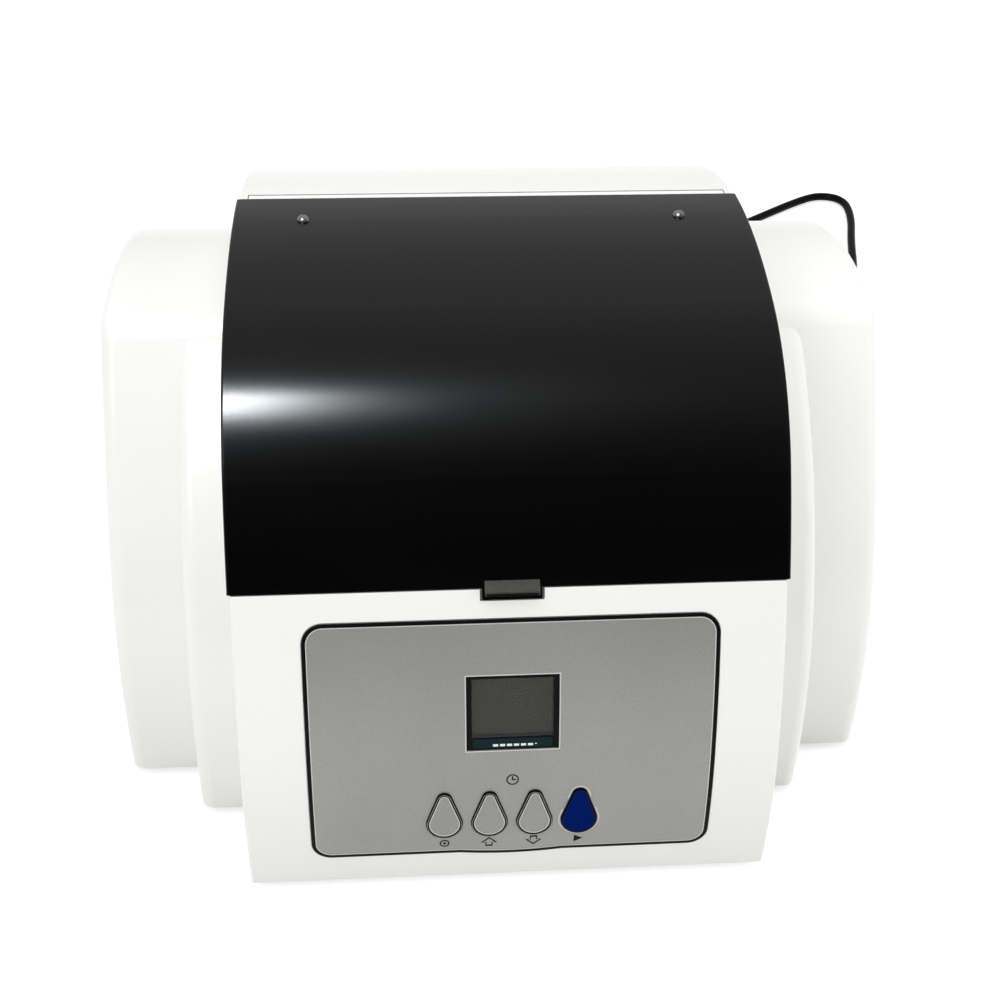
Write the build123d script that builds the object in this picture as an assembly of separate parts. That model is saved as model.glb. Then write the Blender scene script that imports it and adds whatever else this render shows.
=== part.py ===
from build123d import *
from math import asin, atan2, cos, degrees, pi, radians, sin, sqrt, tan
import os

os.makedirs("parts", exist_ok=True)

# A bench-top dental amalgamator: a stepped white housing with a smoked lid over its mixing chamber,
# a keypad and a display on the front, and a motor inside that shakes a capsule held on a swing arm.
# Millimetres, +Z up. The front faces -Y, and the origin is on the surface that the machine stands on,
# under the middle of the body. A heading is an angle in the side view: 90 goes straight up, and
# 0 goes straight to the rear.

# ---- driving dimensions ----

# body
body_width = 285.0
body_depth = 226.0
foot_height = 3.0
wall = 3.0

# side profile of the centre: the heading at its foot, then tangent arcs and the headings at their ends
centre_half = 93.0
centre_foot_heading = 97.0
centre_radii = [158.0, 293.0, 89.0]
centre_headings = [77.4, 57.8, 17.5]
centre_crown = 192.0
centre_rear_round = 18.0
centre_edge_round = 1.2

# side profile of the outer wings, set back behind the centre's foot
wing_setback = 59.0
wing_foot_heading = 96.0
wing_radii = [170.0, 735.0, 17.0]
wing_headings = [60.7, 55.4, 10.9]
wing_crown = 144.0
wing_rear_round = 14.0
wing_edge_round = 5.0

# the middle steps, which come out of the wings and grow towards the foot
step_half = 114.0
step_setback = 37.0
step_foot_heading = 96.0
step_radii = [165.0]
step_headings = [30.0]
step_edge_round = 5.0

# lid
lid_front_heading = 65.0
lid_rear_heading = -4.1
lid_side_overhang = 1.0
lid_half = centre_half + lid_side_overhang
lid_thickness = 2.5
lid_edge_round = 0.8
lid_gap = 0.4
lid_seat_clearance = 0.3
lid_skirt = 4.0
lid_skirt_thickness = 1.8
lid_skirt_clearance = 1.6
lid_lug_half = 10.0
lid_lug_drop = 3.6
tab_half = 9.2
tab_height = 4.9
tab_reach = 2.6
lid_screw_x = 68.7
lid_screw_heading = 1.8
lid_screw_radius = 1.5
lid_screw_head = 2.2

# hinge along the lid's rear edge
barrel_radius = 2.5
barrel_clearance = 0.4
knuckle_radius = 2.75
lid_sweep = 4.5
web_depth = 1.6
hinge_pin_radius = 1.0
running_clearance = 0.04
fit_clearance = 0.02
leaf_length = 25.0
leaf_thickness = 1.6
leaf_side_gap = 4.0

# rim round the chamber's mouth, and the chamber tub under it
rim_depth = 7.6
mouth_front_heading = 62.5
mouth_rear_heading = 5.5
rim_width = 9.0
mouth_half = centre_half - rim_width
mouth_corner = 10.0
tub_wall = 2.0
tub_floor = 98.0
tub_gap = 0.3
tub_corner = 8.0
slot_margin = 13.7
slot_width = 22.0
grommet_lip = 2.0

# front panel
overlay_low_heading = 92.2
overlay_high_heading = 67.0
overlay_half = 70.3
overlay_corner = 7.0
overlay_swell = 1.1
overlay_swell_half = 18.0
overlay_proud = 0.2
overlay_depth = 0.6
pocket_clearance = 0.25
window_heading = 73.7
window_width = 31.8
window_height = 28.2
glass_width = 28.0
glass_height = 22.4
glass_rise = 1.6
bezel_depth = 3.6
lens_drop = 0.5
lens_thickness = 1.2
module_depth = 5.0
module_margin = 3.0
panel_gap = 0.2
key_heading = 85.4
key_pitch = 15.8
key_width = 12.9
key_height = 20.4
key_tip_radius = 2.7
key_clearance = 0.35
key_proud = 0.9
key_back_gap = 0.7
key_flange = 1.5
key_flange_grow = 1.0
key_travel = 0.6
key_stem_radius = 2.0
key_names = ["key_recall", "key_up", "key_down", "key_start"]

# control board behind the panel, parallel to the keys
board_thickness = 1.6
control_board_depth = 18.0
control_board_width = 122.0
control_board_height = 80.0
control_board_rise = 20.0
control_post_radius = 3.4
control_post_inset = 6.0
switch_size = 11.0
switch_height = 4.5
plunger_radius = 1.7
plunger_rise = 1.2
board_screw_radius = 1.2
board_screw_head = 2.4
buzzer_place = (38.0, 6.0)
buzzer_radius = 6.0
buzzer_height = 7.0

# base plate, feet and case screws
plate_thickness = 2.0
plate_gap = 0.4
foot_radius = 9.0
foot_top_radius = 8.0
front_foot_inset = 21.0
rear_foot_inset = (24.5, 17.0)
wing_boss_y = -34.0
centre_boss_inset = 15.0
plate_slot_count = 7
plate_slot_pitch = 11.0
plate_slot_y = 40.0
plate_slot_length = 40.0
plate_slot_width = 4.0
boss_radius = 5.0
boss_height = 24.0
boss_bite = 0.6
screw_radius = 1.5
screw_head_radius = 2.9
screw_head_height = 1.6
screw_length = 14.0

# drive: motor on a frame on rubber isolators, crank, arm
arm_y = -30.0
motor_z = 46.0
motor_radius = 30.0
motor_length = 62.0
bell_thickness = 4.0
bell_nose_radius = 11.0
bell_nose_length = 7.0
shaft_radius = 3.0
bearing_radius = 8.0
bearing_width = 5.0
motor_screw_offset = 19.0
frame_thickness = 4.0
frame_half = 42.0
frame_front_y = -8.0
frame_rear_y = 72.0
frame_shoulder = 12.0
frame_top_half = 14.0
gusset_length = 26.0
gusset_half = 1.5
isolator_inset = 9.0
isolator_waist = 3.5
isolator_cap = 3.0
front_isolator_reach = 20.0
isolator_height = 7.0
isolator_radius = 7.0
crank_radius = 11.0
crank_thickness = 6.0
crank_throw = 2.5
crank_pin_radius = 2.0
crank_bearing_radius = 4.0
crank_bearing_width = 5.0
fan_radius = 26.0
fan_width = 9.0
fan_blades = 9
pivot_z = 80.0
pivot_radius = 3.0
arm_thickness = 7.0
arm_hub_radius = 10.0
arm_stem_half = 8.0
arm_swing_angle = 4.2
fork_prong = 5.0
bush_wall = 2.0
bush_flange = 1.0
side_gap = 0.3

# capsule clamp on top of the arm
clamp_z = 143.0
fixed_jaw_x = -19.0
moving_jaw_x = 15.0
jaw_travel = 5.0
jaw_head_radius = 7.0
jaw_head_thickness = 4.0
jaw_stem_radius = 3.0
upright_thickness = 6.0
upright_width = 15.0
bar_height = 9.0
capsule_dish = 1.2
jaw_rim = 1.5
knob_radius = 6.5
knob_length = 8.0
spring_radius = 4.6
spring_wire = 0.9
spring_turns = 4
spring_spare = 0.5
spring_room = jaw_travel + (spring_turns + 1) * spring_wire + spring_spare

# electrics
side_inset = 36.5
transformer_y = 30.0
transformer_width = 44.0
transformer_height = 40.0
transformer_stack = 22.0
transformer_leg = 12.0
coil_overhang = 9.0
transformer_foot = 8.0
power_board_y = 38.0
power_board_width = 58.0
power_board_depth = 92.0
spacer_height = 9.0
spacer_radius = 2.8
spacer_inset = 5.0

# parts on the power board, from its middle: (x, y, radius, height), then (x, y, width, depth, height)
capacitors = [(-14.0, -26.0, 9.0, 24.0), (10.0, -28.0, 6.5, 20.0)]
board_blocks = [(-12.0, 0.0, 20.0, 16.0, 16.0), (6.5, 0.0, 5.0, 28.0, 22.0), (-1.0, 33.0, 38.0, 10.0, 11.0)]

# rear panel: the rocker and the fuse holder sit in a bay, the gland and the vents in the wall itself
bay_depth = 4.5
bay_margin = 4.0
bay_corner = 3.0
rocker_place = (108.0, 40.0)
rocker_width = 13.0
rocker_height = 19.0
rocker_frame_lip = 2.0
rocker_tilt_angle = 9.0
fuse_place = (84.0, 40.0)
fuse_radius = 6.0
fuse_flange = 2.0
gland_place = (58.0, 26.0)
gland_radius = 6.5
gland_length = 32.0
vent_count = 11
vent_pitch = 7.0
vent_width = 3.0
vent_height = 24.0
vent_z = 118.0

# mains cord: its route from the gland over the floor, as far as the coil
cord_diameter = 5.0
cord_floor = cord_diameter / 2
gland_height = gland_place[1]
cord_route = [
    (58, 145, gland_height),
    (58, 171, gland_height),
    (63, 204, 9),
    (73, 236, cord_floor),
    (88, 270, cord_floor),
    (104, 312, cord_floor),
    (130, 360, cord_floor),
    (165, 405, cord_floor),
    (205, 443, cord_floor),
    (241, 469, cord_floor),
    (264, 466, cord_floor),
    (278, 447, cord_floor),
    (272, 402, cord_floor),
    (258, 354, cord_floor),
    (236, 310, cord_floor),
    (213, 269, cord_floor),
    (197, 224, cord_floor),
]
coil_inner = 20.5
coil_pitch = 5.7
coil_layer = 5.5
coil_turns = 17 / 6
coil_climb = 0.5
coil_steps = 12
plug_relief = 32.0
plug_relief_radius = 2.8
plug_neck = 5.2
plug_length = 30.0
plug_width = 24.0
plug_taper = 2.0
blade_gap = 12.7
blade_width = 6.35
blade_thickness = 1.5
blade_length = 17.0

# ---- helpers ----


def outward(heading):
    """The direction out of a profile, in the side view's Y and Z, where the profile has that heading."""
    return Vector(-sin(radians(heading)), cos(radians(heading)))


def chain(start, heading, radii, headings):
    """Tangent arcs that turn right from a place, each as (centre, radius, first heading, last heading)."""
    found = []
    point = Vector(*start)
    for radius, end in zip(radii, headings):
        centre = point - outward(heading) * radius
        found.append((centre, radius, heading, end))
        point = centre + outward(end) * radius
        heading = end
    return found


def with_rear(arcs, crown, rear, rear_round):
    """The chain, carried over a crown and down into the rear wall."""
    centre, radius, _, heading = arcs[-1]
    top = centre + outward(heading) * radius - outward(heading) * crown
    end = -degrees(asin((rear - rear_round - top.X) / (crown - rear_round)))
    low = top + outward(end) * (crown - rear_round)
    return arcs + [(top, crown, heading, end), (low, rear_round, end, -90.0)]


def on(profile, heading, out=0.0):
    """The place on a profile where it has that heading, moved out along its normal."""
    for centre, radius, first, last in profile:
        if first >= heading >= last:
            return centre + outward(heading) * (radius + out)
    raise ValueError(f"no heading {heading} on this profile")


def past(profile, heading, length):
    """The heading at a length further along the arc that holds the given heading."""
    for _, radius, first, last in profile:
        if first >= heading >= last:
            return heading - degrees(length / radius)
    raise ValueError(f"no heading {heading} on this profile")


def arcs_between(profile, out, first, last):
    """A profile's arcs between two headings, moved out along their normals."""
    edges = []
    for centre, radius, start, end in profile:
        start, end = min(start, first), max(end, last)
        if start - end > 1e-6:
            places = [centre + outward(h) * (radius + out) for h in (start, (start + end) / 2, end)]
            edges.append(ThreePointArc(*places))
    return edges


def body_face(profile, out, bottom):
    """A whole side profile, closed by its rear wall and a flat bottom."""
    first, last = profile[0][2], profile[-1][3]
    start, end = on(profile, first, out), on(profile, last, out)
    low_front, low_rear = Vector(start.X, bottom), Vector(end.X, bottom)
    edges = arcs_between(profile, out, first, last)
    edges += [Line(end, low_rear), Line(low_rear, low_front)]
    if start.Y - bottom > 1e-6:
        edges.append(Line(low_front, start))
    return make_face(edges)


def band_face(profile, outer, inner, first, last):
    """The strip between two offsets of a profile, from one heading to another."""
    edges = arcs_between(profile, outer, first, last) + arcs_between(profile, inner, first, last)
    edges.append(Line(on(profile, first, outer), on(profile, first, inner)))
    edges.append(Line(on(profile, last, outer), on(profile, last, inner)))
    return make_face(edges)


def across(face, half, middle=0.0):
    """A side-view face made solid along X, half to each side of the middle."""
    return Pos(middle, 0, 0) * extrude(Plane.YZ * face, half, both=True)


def panel_plane(heading, x=0.0, out=0.0):
    """A plane on the centre's front: its X goes right, its Y up the surface and its Z out of it."""
    place, normal = on(centre, heading, out), outward(heading)
    return Plane(origin=(x, place.X, place.Y), x_dir=(1, 0, 0), z_dir=(0, normal.X, normal.Y))


def layer(sketch, low, high, plane):
    """A sketch on a plane, made solid between two heights over it."""
    return extrude(plane.offset(low) * sketch, high - low)


def rod(start, end, radius):
    start, end = Vector(*start), Vector(*end)
    ends = (Align.CENTER, Align.CENTER, Align.MIN)
    return Plane(origin=start, z_dir=end - start) * Cylinder(radius, (end - start).length, align=ends)


def tube(start, end, radius, bore):
    return rod(start, end, radius) - rod(start, end, bore)


def block(low, high):
    size = [b - a for a, b in zip(low, high)]
    return Pos(*low) * Box(*size, align=(Align.MIN,) * 3)


def group(solids):
    return Compound(children=[s for piece in solids for s in piece.solids()])


def teardrop(grow=0.0):
    """A key's outline: a wide round foot and a narrow round tip, joined by tangent lines."""
    foot, tip = key_width / 2, key_tip_radius
    rise = key_height - foot - tip
    low, high = Vector(0, foot - key_height / 2), Vector(0, key_height / 2 - tip)
    lean = asin((foot - tip) / rise)
    side = Vector(cos(lean), sin(lean))
    other = Vector(-side.X, side.Y)
    foot, tip = foot + grow, tip + grow
    return make_face([
        ThreePointArc(low + other * foot, low - Vector(0, foot), low + side * foot),
        Line(low + side * foot, high + side * tip),
        ThreePointArc(high + side * tip, high + Vector(0, tip), high + other * tip),
        Line(high + other * tip, low + other * foot),
    ])


def biarc(start, start_way, end, end_way):
    """Two tangent arcs from one place and direction to another."""
    gap, ways, bend = end - start, start_way + end_way, 1 - start_way.dot(end_way)
    reach = gap.dot(ways)
    arm = (sqrt(reach * reach + 2 * bend * gap.dot(gap)) - reach) / (2 * bend)
    first, second = start + start_way * arm, end - end_way * arm
    middle = (first + second) * 0.5
    arcs = [Edge.make_tangent_arc(start, start_way, middle)]
    return arcs + [Edge.make_tangent_arc(middle, (second - first).normalized(), end)]


parts = {}

# ---- profiles ----

rear_y = body_depth / 2
belly = centre_radii[0] * (1 - sin(radians(centre_foot_heading)))
foot_y = -body_depth / 2 + belly
plate_top = foot_height + plate_thickness
centre_front = chain((foot_y, foot_height), centre_foot_heading, centre_radii, centre_headings)
centre = with_rear(centre_front, centre_crown, rear_y, centre_rear_round)
wing_front = chain((foot_y + wing_setback, foot_height), wing_foot_heading, wing_radii, wing_headings)
wing = with_rear(wing_front, wing_crown, rear_y, wing_rear_round)
step = chain((foot_y + step_setback, foot_height), step_foot_heading, step_radii, step_headings)


def step_face(out, bottom):
    """The middle steps' side profile. Its rear edge is buried in the wings."""
    return body_face(step, out, bottom)


hinge_heading = past(centre, lid_rear_heading, barrel_radius + barrel_clearance)
hinge_place = on(centre, hinge_heading, -barrel_radius)
hinge_yz = (hinge_place.X, hinge_place.Y)
leaf_front = past(centre, lid_rear_heading, -leaf_length)
seat_depth = lid_thickness + lid_seat_clearance
leaf_seat = seat_depth + leaf_thickness
deep = 30.0


def outline_edges(solid, half):
    """The edges of a block's two side faces, without the ones along its flat bottom."""
    at_side = [e for e in solid.edges() if abs(abs(e.center().X) - half) < 1e-3]
    return [e for e in at_side if e.center().Z > foot_height + 1e-3]


def within_cavity(clearance, bottom):
    """The room inside the housing's walls, less a clearance."""
    inset = wall + clearance
    room = across(body_face(centre, -inset, bottom), centre_half - inset)
    room += across(body_face(wing, -inset, bottom), body_width / 2 - inset)
    return room + across(step_face(-inset, bottom), step_half - inset)


# ---- upper housing ----


def mouth(grow, outer, inner):
    """The chamber's mouth through the lid's seat, between two offsets of the surface."""
    first, last = past(centre, mouth_front_heading, -grow), past(centre, mouth_rear_heading, grow)
    return across(band_face(centre, outer, inner, first, last), mouth_half + grow)


def overlay_outline(clearance):
    """The keypad overlay's rounded outline as a prism square to the middle of the panel."""
    low, high = on(centre, overlay_low_heading), on(centre, overlay_high_heading)
    middle = (overlay_low_heading + overlay_high_heading) / 2
    normal = outward(middle)
    centre_place = (low + high) * 0.5
    plane = Plane(origin=(0, centre_place.X, centre_place.Y), x_dir=(1, 0, 0), z_dir=(0, normal.X, normal.Y))
    height = (high - low).length + 2 * clearance
    sketch = RectangleRounded(2 * (overlay_half + clearance), height, overlay_corner + clearance)
    swell = (overlay_swell_half ** 2 + overlay_swell ** 2) / (2 * overlay_swell)
    disc = Pos(0, swell - overlay_swell - height / 2) * Circle(swell)
    sketch += disc & Pos(0, -height / 2) * Rectangle(4 * overlay_swell_half, 4 * overlay_swell)
    return extrude(plane * sketch, deep, both=True)


key_places = [(i - (len(key_names) - 1) / 2) * key_pitch for i in range(len(key_names))]
window_plane = panel_plane(window_heading)
board_plane = panel_plane(key_heading)
post_x = control_board_width / 2 - control_post_inset
post_rise = control_board_height / 2 - control_post_inset
post_places = [(x, control_board_rise + y) for x in (-post_x, post_x) for y in (-post_rise, post_rise)]
boss_reach = boss_radius - boss_bite
wing_boss_x = body_width / 2 - wall - boss_reach
boss_places = [
    (x, y) for x in (-wing_boss_x, wing_boss_x) for y in (wing_boss_y, rear_y - wall - boss_reach)
] + [
    (x, centre_boss_inset - rear_y)
    for x in (wall + boss_reach - centre_half, centre_half - wall - boss_reach)
]
panel_y = rear_y - bay_depth
bay_left = fuse_place[0] - fuse_radius - fuse_flange - bay_margin
bay_right = rocker_place[0] + rocker_width / 2 + rocker_frame_lip + bay_margin
bay_half_height = rocker_height / 2 + rocker_frame_lip + bay_margin


def bay(grow, low, high):
    """The rear bay's rounded outline, made solid between two heights over the rear wall."""
    plane = Plane(
        origin=((bay_left + bay_right) / 2, rear_y, rocker_place[1]), x_dir=(1, 0, 0), z_dir=(0, 1, 0)
    )
    width, height = bay_right - bay_left + 2 * grow, 2 * (bay_half_height + grow)
    return layer(RectangleRounded(width, height, bay_corner + grow), low, high, plane)


def upper_housing():
    wings = across(body_face(wing, 0, foot_height), body_width / 2)
    wings = fillet(outline_edges(wings, body_width / 2), wing_edge_round)
    steps = across(step_face(0, foot_height), step_half)
    arcs = [e for e in outline_edges(steps, step_half) if e.geom_type == GeomType.CIRCLE]
    steps = fillet(arcs, step_edge_round)
    middle = across(body_face(centre, 0, foot_height), centre_half)
    middle = fillet(outline_edges(middle, centre_half), centre_edge_round)
    shape = wings + steps + middle - within_cavity(0, -deep)

    # rim round the mouth, then the lid's seat, the leaf's seat and the barrel's groove cut into it
    rim_first, rim_last = past(centre, lid_front_heading, -8.0), past(centre, hinge_heading, 9.0)
    shape += across(band_face(centre, -wall / 2, -rim_depth, rim_first, rim_last), centre_half - wall / 2)
    lid_room = band_face(centre, deep / 3, -seat_depth, lid_front_heading, lid_rear_heading)
    shape -= across(lid_room, lid_half + deep)
    leaf_end = past(centre, leaf_front, -1.5)
    leaf_room = across(
        band_face(centre, deep / 3, -leaf_seat, leaf_end, hinge_heading), lid_half - leaf_side_gap
    )
    shape -= leaf_room
    groove = rod(
        (wall - centre_half, *hinge_yz),
        (centre_half - wall, *hinge_yz),
        barrel_radius + barrel_clearance,
    )
    shape -= groove

    # room for the lid's rear edge to swing up, which leaves a round knuckle at each end of the pin
    ends = (-lid_half, *hinge_yz), (lid_half, *hinge_yz)
    hinge_y, hinge_z = hinge_yz
    sweep_room = block((-lid_half, hinge_y - lid_sweep, hinge_z), (lid_half, hinge_y, hinge_z + lid_sweep))
    shape -= tube(*ends, lid_sweep, knuckle_radius) & sweep_room
    shape -= rod(
        (-centre_half + 0.4, *hinge_yz),
        (centre_half - 0.4, *hinge_yz),
        hinge_pin_radius + fit_clearance,
    )
    shape -= mouth(0, deep / 3, -deep / 2)
    lug_end = past(centre, lid_front_heading, -(lid_lug_drop + lid_gap))
    shape -= across(
        band_face(centre, deep / 3, -seat_depth, lug_end, lid_front_heading - 0.5), lid_lug_half + 2 * lid_gap
    )

    # keypad pocket, key holes and window
    first, last = overlay_low_heading + 2, overlay_high_heading - 2
    pocket = band_face(centre, 1, -overlay_depth - pocket_clearance / 2, first, last)
    shape -= across(pocket, overlay_half + 2) & overlay_outline(pocket_clearance)
    for x in key_places:
        shape -= layer(Pos(x, 0) * teardrop(key_clearance), -deep / 3, 2, board_plane)
    opening = Rectangle(window_width + 2 * panel_gap, window_height + 2 * panel_gap)
    shape -= layer(opening, -deep / 3, 2, window_plane)

    # posts for the control board and bosses for the case screws
    core = across(body_face(centre, -wall / 3, foot_height), centre_half)
    for x, y in post_places:
        post = layer(Pos(x, y) * Circle(control_post_radius), -control_board_depth, 4, board_plane)
        shape += post & core
        low, high = -control_board_depth, 6 - control_board_depth
        shape -= layer(Pos(x, y) * Circle(board_screw_radius), low, high, board_plane)
    whole = across(body_face(wing, -wall / 3, foot_height), body_width / 2 - wall / 3) + core
    for x, y in boss_places:
        boss = rod((x, y, plate_top), (x, y, plate_top + boss_height), boss_radius)
        shape += boss & whole
        shape -= rod((x, y, plate_top - 1), (x, y, plate_top + boss_height - 4), screw_radius + fit_clearance)

    # rear wall: the bay with the rocker and the fuse holder, then the gland and the vents
    shape += bay(wall, -bay_depth - wall, -wall / 2)
    shape -= bay(0, -bay_depth, 1)
    x, z = rocker_place
    half_width, half_height = rocker_width / 2 + panel_gap, rocker_height / 2 + panel_gap
    shape -= block(
        (x - half_width, panel_y - wall - 2, z - half_height), (x + half_width, panel_y + 1, z + half_height)
    )
    for (x, z), radius, face in ((fuse_place, fuse_radius, panel_y), (gland_place, gland_radius, rear_y)):
        shape -= rod((x, face - wall - 2, z), (x, face + 1, z), radius + panel_gap)
    vent = Plane.XZ * SlotOverall(vent_height, vent_width, rotation=90)
    for i in range(vent_count):
        x = (i - (vent_count - 1) / 2) * vent_pitch
        shape -= Pos(x, rear_y, vent_z) * extrude(vent, wall + 2, both=True)
    return shape


parts["upper_housing"] = upper_housing()


# ---- lid ----


def lid_cover():
    first = past(centre, lid_front_heading, lid_gap)
    last = past(centre, lid_rear_heading, -lid_gap / 2)
    cover = across(band_face(centre, 0, -lid_thickness, first, last), lid_half)
    sides = [e for e in cover.edges().filter_by(GeomType.CIRCLE) if abs(abs(e.center().X) - lid_half) < 1e-3]
    cover = fillet([e for e in sides if is_outer(e)], lid_edge_round)
    low = past(centre, lid_front_heading, -lid_lug_drop)
    cover += across(band_face(centre, 0, -lid_thickness, low, first - 0.2), lid_lug_half)
    skirt_first = past(centre, mouth_front_heading, lid_skirt_clearance)
    skirt_last = past(centre, mouth_rear_heading, -lid_skirt_clearance)
    half = mouth_half - lid_skirt_clearance
    skirt_in = past(centre, skirt_first, lid_skirt_thickness)
    inner, outer = -lid_thickness - lid_skirt, -lid_thickness / 2
    skirt = across(band_face(centre, outer, inner, skirt_first, skirt_last), half)
    skirt -= across(
        band_face(centre, outer + 2, inner - 2, skirt_in, skirt_last - 5), half - lid_skirt_thickness
    )
    cover += skirt
    for x in (-lid_screw_x, lid_screw_x):
        plane = panel_plane(lid_screw_heading, x)
        cover -= layer(Circle(lid_screw_radius + fit_clearance), -lid_thickness - 1, 1, plane)
    return cover


def is_outer(edge):
    """Whether an arc of the lid's side has the radius of the lid's outer face."""
    return any(abs(edge.radius - radius) < 1e-3 for _, radius, _, _ in centre)


parts["lid_cover"] = lid_cover()


def lid_pull_tab():
    """A finger ledge on the lug, hollowed on its underside."""
    low = past(centre, lid_front_heading, -lid_lug_drop + 1.6)
    high = past(centre, low, tab_height)
    plane = panel_plane((low + high) / 2)
    side = make_face(Polyline([
        (-tab_height / 2, 0), (tab_height / 2, 0), (0.2 * tab_height, 0.45 * tab_reach),
        (-0.2 * tab_height, tab_reach), (-tab_height / 2, tab_reach)], close=True))
    section = Plane(origin=plane.origin, x_dir=plane.y_dir, z_dir=(1, 0, 0))
    tab = extrude(section * side, tab_half, both=True)
    upright = [e for e in tab.edges() if abs(abs(e.center().X) - tab_half) < 1e-3]
    outer = [e for e in upright if plane.to_local_coords(e.center()).Z > 0.8 * tab_reach]
    return fillet(outer, 1.0)


parts["lid_pull_tab"] = lid_pull_tab()


def lid_hinge_strip():
    x = centre_half - wall - barrel_clearance
    barrel = rod((-x, *hinge_yz), (x, *hinge_yz), barrel_radius)
    top, low = -lid_thickness - fit_clearance, -lid_thickness - leaf_thickness
    leaf = band_face(centre, top, low, leaf_front, hinge_heading)
    web_start = past(centre, lid_rear_heading, lid_gap / 2)
    web = band_face(centre, -web_depth, low, web_start, hinge_heading)
    strip = barrel + across(leaf, lid_half - leaf_side_gap - 1) + across(web, x)
    strip -= rod((-x - 1, *hinge_yz), (x + 1, *hinge_yz), hinge_pin_radius + running_clearance)
    for side in (-lid_screw_x, lid_screw_x):
        plane = panel_plane(lid_screw_heading, side)
        strip -= layer(Circle(lid_screw_radius + fit_clearance), low - 1, 1, plane)
    return strip


parts["lid_hinge_strip"] = lid_hinge_strip()


def lid_screw(x):
    plane = panel_plane(lid_screw_heading, x)
    head = fillet(layer(Circle(lid_screw_head), 0, 0.9, plane).edges().sort_by(Axis.Z)[-1:], 0.6)
    return head + layer(Circle(lid_screw_radius), -lid_thickness - leaf_thickness, 0.2, plane)


parts["lid_screws"] = group([lid_screw(-lid_screw_x), lid_screw(lid_screw_x)])

pin_half = centre_half - 0.6
parts["hinge_pin"] = rod((-pin_half, *hinge_yz), (pin_half, *hinge_yz), hinge_pin_radius)

magnet_plane = panel_plane(mouth_front_heading - 1.6, mouth_half - 14.0)
parts["lid_magnet"] = layer(Circle(3.5), -lid_thickness - 2.5, -lid_thickness - 0.05, magnet_plane)

# ---- chamber tub ----

tub_front_place = on(centre, mouth_front_heading + 0.5, -rim_depth - tub_gap)
tub_rear_place = on(centre, mouth_rear_heading - 0.5, -rim_depth - tub_gap)
tub_half = mouth_half + tub_wall
slot_length = 2 * (arm_stem_half + (tub_floor - pivot_z) * tan(radians(arm_swing_angle)) + slot_margin)


def chamber_tub():
    front, rear = tub_front_place, tub_rear_place
    low_front, low_rear = Vector(front.X, tub_floor), Vector(rear.X, tub_floor)
    edges = arcs_between(centre, -rim_depth - tub_gap, mouth_front_heading + 0.5, mouth_rear_heading - 0.5)
    edges += [Line(rear, low_rear), Line(low_rear, low_front), Line(low_front, front)]
    tub = across(make_face(edges), tub_half)
    tub = fillet([e for e in tub.edges().filter_by(Axis.Z)], tub_corner / 2)
    room = block(
        (tub_wall - tub_half, front.X + tub_wall, tub_floor + tub_wall),
        (tub_half - tub_wall, rear.X - tub_wall, tub_floor + 4 * deep),
    )
    room = fillet([e for e in room.edges().filter_by(Axis.Z)], tub_corner)
    room = fillet(room.edges().group_by(Axis.Z)[0], tub_corner / 2)
    slot = SlotOverall(slot_length, slot_width)
    return tub - room - Pos(0, arm_y, tub_floor) * extrude(slot, 2 * tub_wall, both=True)


parts["chamber_tub"] = chamber_tub()


def slot_grommet():
    """A rubber lip in the arm's slot, grooved over the tub's floor."""
    lip, groove = grommet_lip, tub_wall + 2 * fit_clearance
    outer = extrude(SlotOverall(slot_length + 2 * lip, slot_width + 2 * lip), groove + 2 * lip)
    waist = SlotOverall(slot_length + 3 * lip, slot_width + 3 * lip)
    waist -= SlotOverall(slot_length - 2 * fit_clearance, slot_width - 2 * fit_clearance)
    outer -= Pos(0, 0, lip) * extrude(waist, groove)
    outer -= extrude(SlotOverall(slot_length - 2 * lip, slot_width - 2 * lip), groove + 2 * lip)
    return Pos(0, arm_y, tub_floor - lip - fit_clearance) * outer


parts["slot_grommet"] = slot_grommet()

parts["reed_sensor"] = block(
    (mouth_half - 24, tub_front_place.X - 4.0, tub_floor + 5.0),
    (mouth_half - 6, tub_front_place.X, tub_floor + 13.0),
)

# ---- front panel ----


def keypad_overlay():
    first, last = overlay_low_heading + 2, overlay_high_heading - 2
    sheet = across(band_face(centre, overlay_proud, -overlay_depth, first, last), overlay_half + 2)
    sheet &= overlay_outline(0)
    for x in key_places:
        sheet -= layer(Pos(x, 0) * teardrop(key_clearance), -deep / 3, 4, board_plane)
    return sheet - layer(Rectangle(window_width, window_height), -deep / 3, 4, window_plane)


parts["keypad_overlay"] = keypad_overlay()

bezel_top = -overlay_depth
bezel_outline = Rectangle(window_width - 2 * panel_gap, window_height - 2 * panel_gap)
glass_outline = Pos(0, glass_rise) * Rectangle(glass_width, glass_height)
module_top = bezel_top - bezel_depth
parts["display_bezel"] = layer(bezel_outline - glass_outline, module_top, bezel_top, window_plane)
lens_width, lens_height = glass_width - 2 * fit_clearance, glass_height - 2 * fit_clearance
lens_outline = Pos(0, glass_rise) * Rectangle(lens_width, lens_height)
lens_top = bezel_top - lens_drop
parts["display_lens"] = layer(lens_outline, lens_top - lens_thickness, lens_top, window_plane)
module_outline = Rectangle(window_width + 2 * module_margin, window_height + module_margin)
parts["display_module"] = layer(module_outline, module_top - module_depth, module_top, window_plane)


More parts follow.
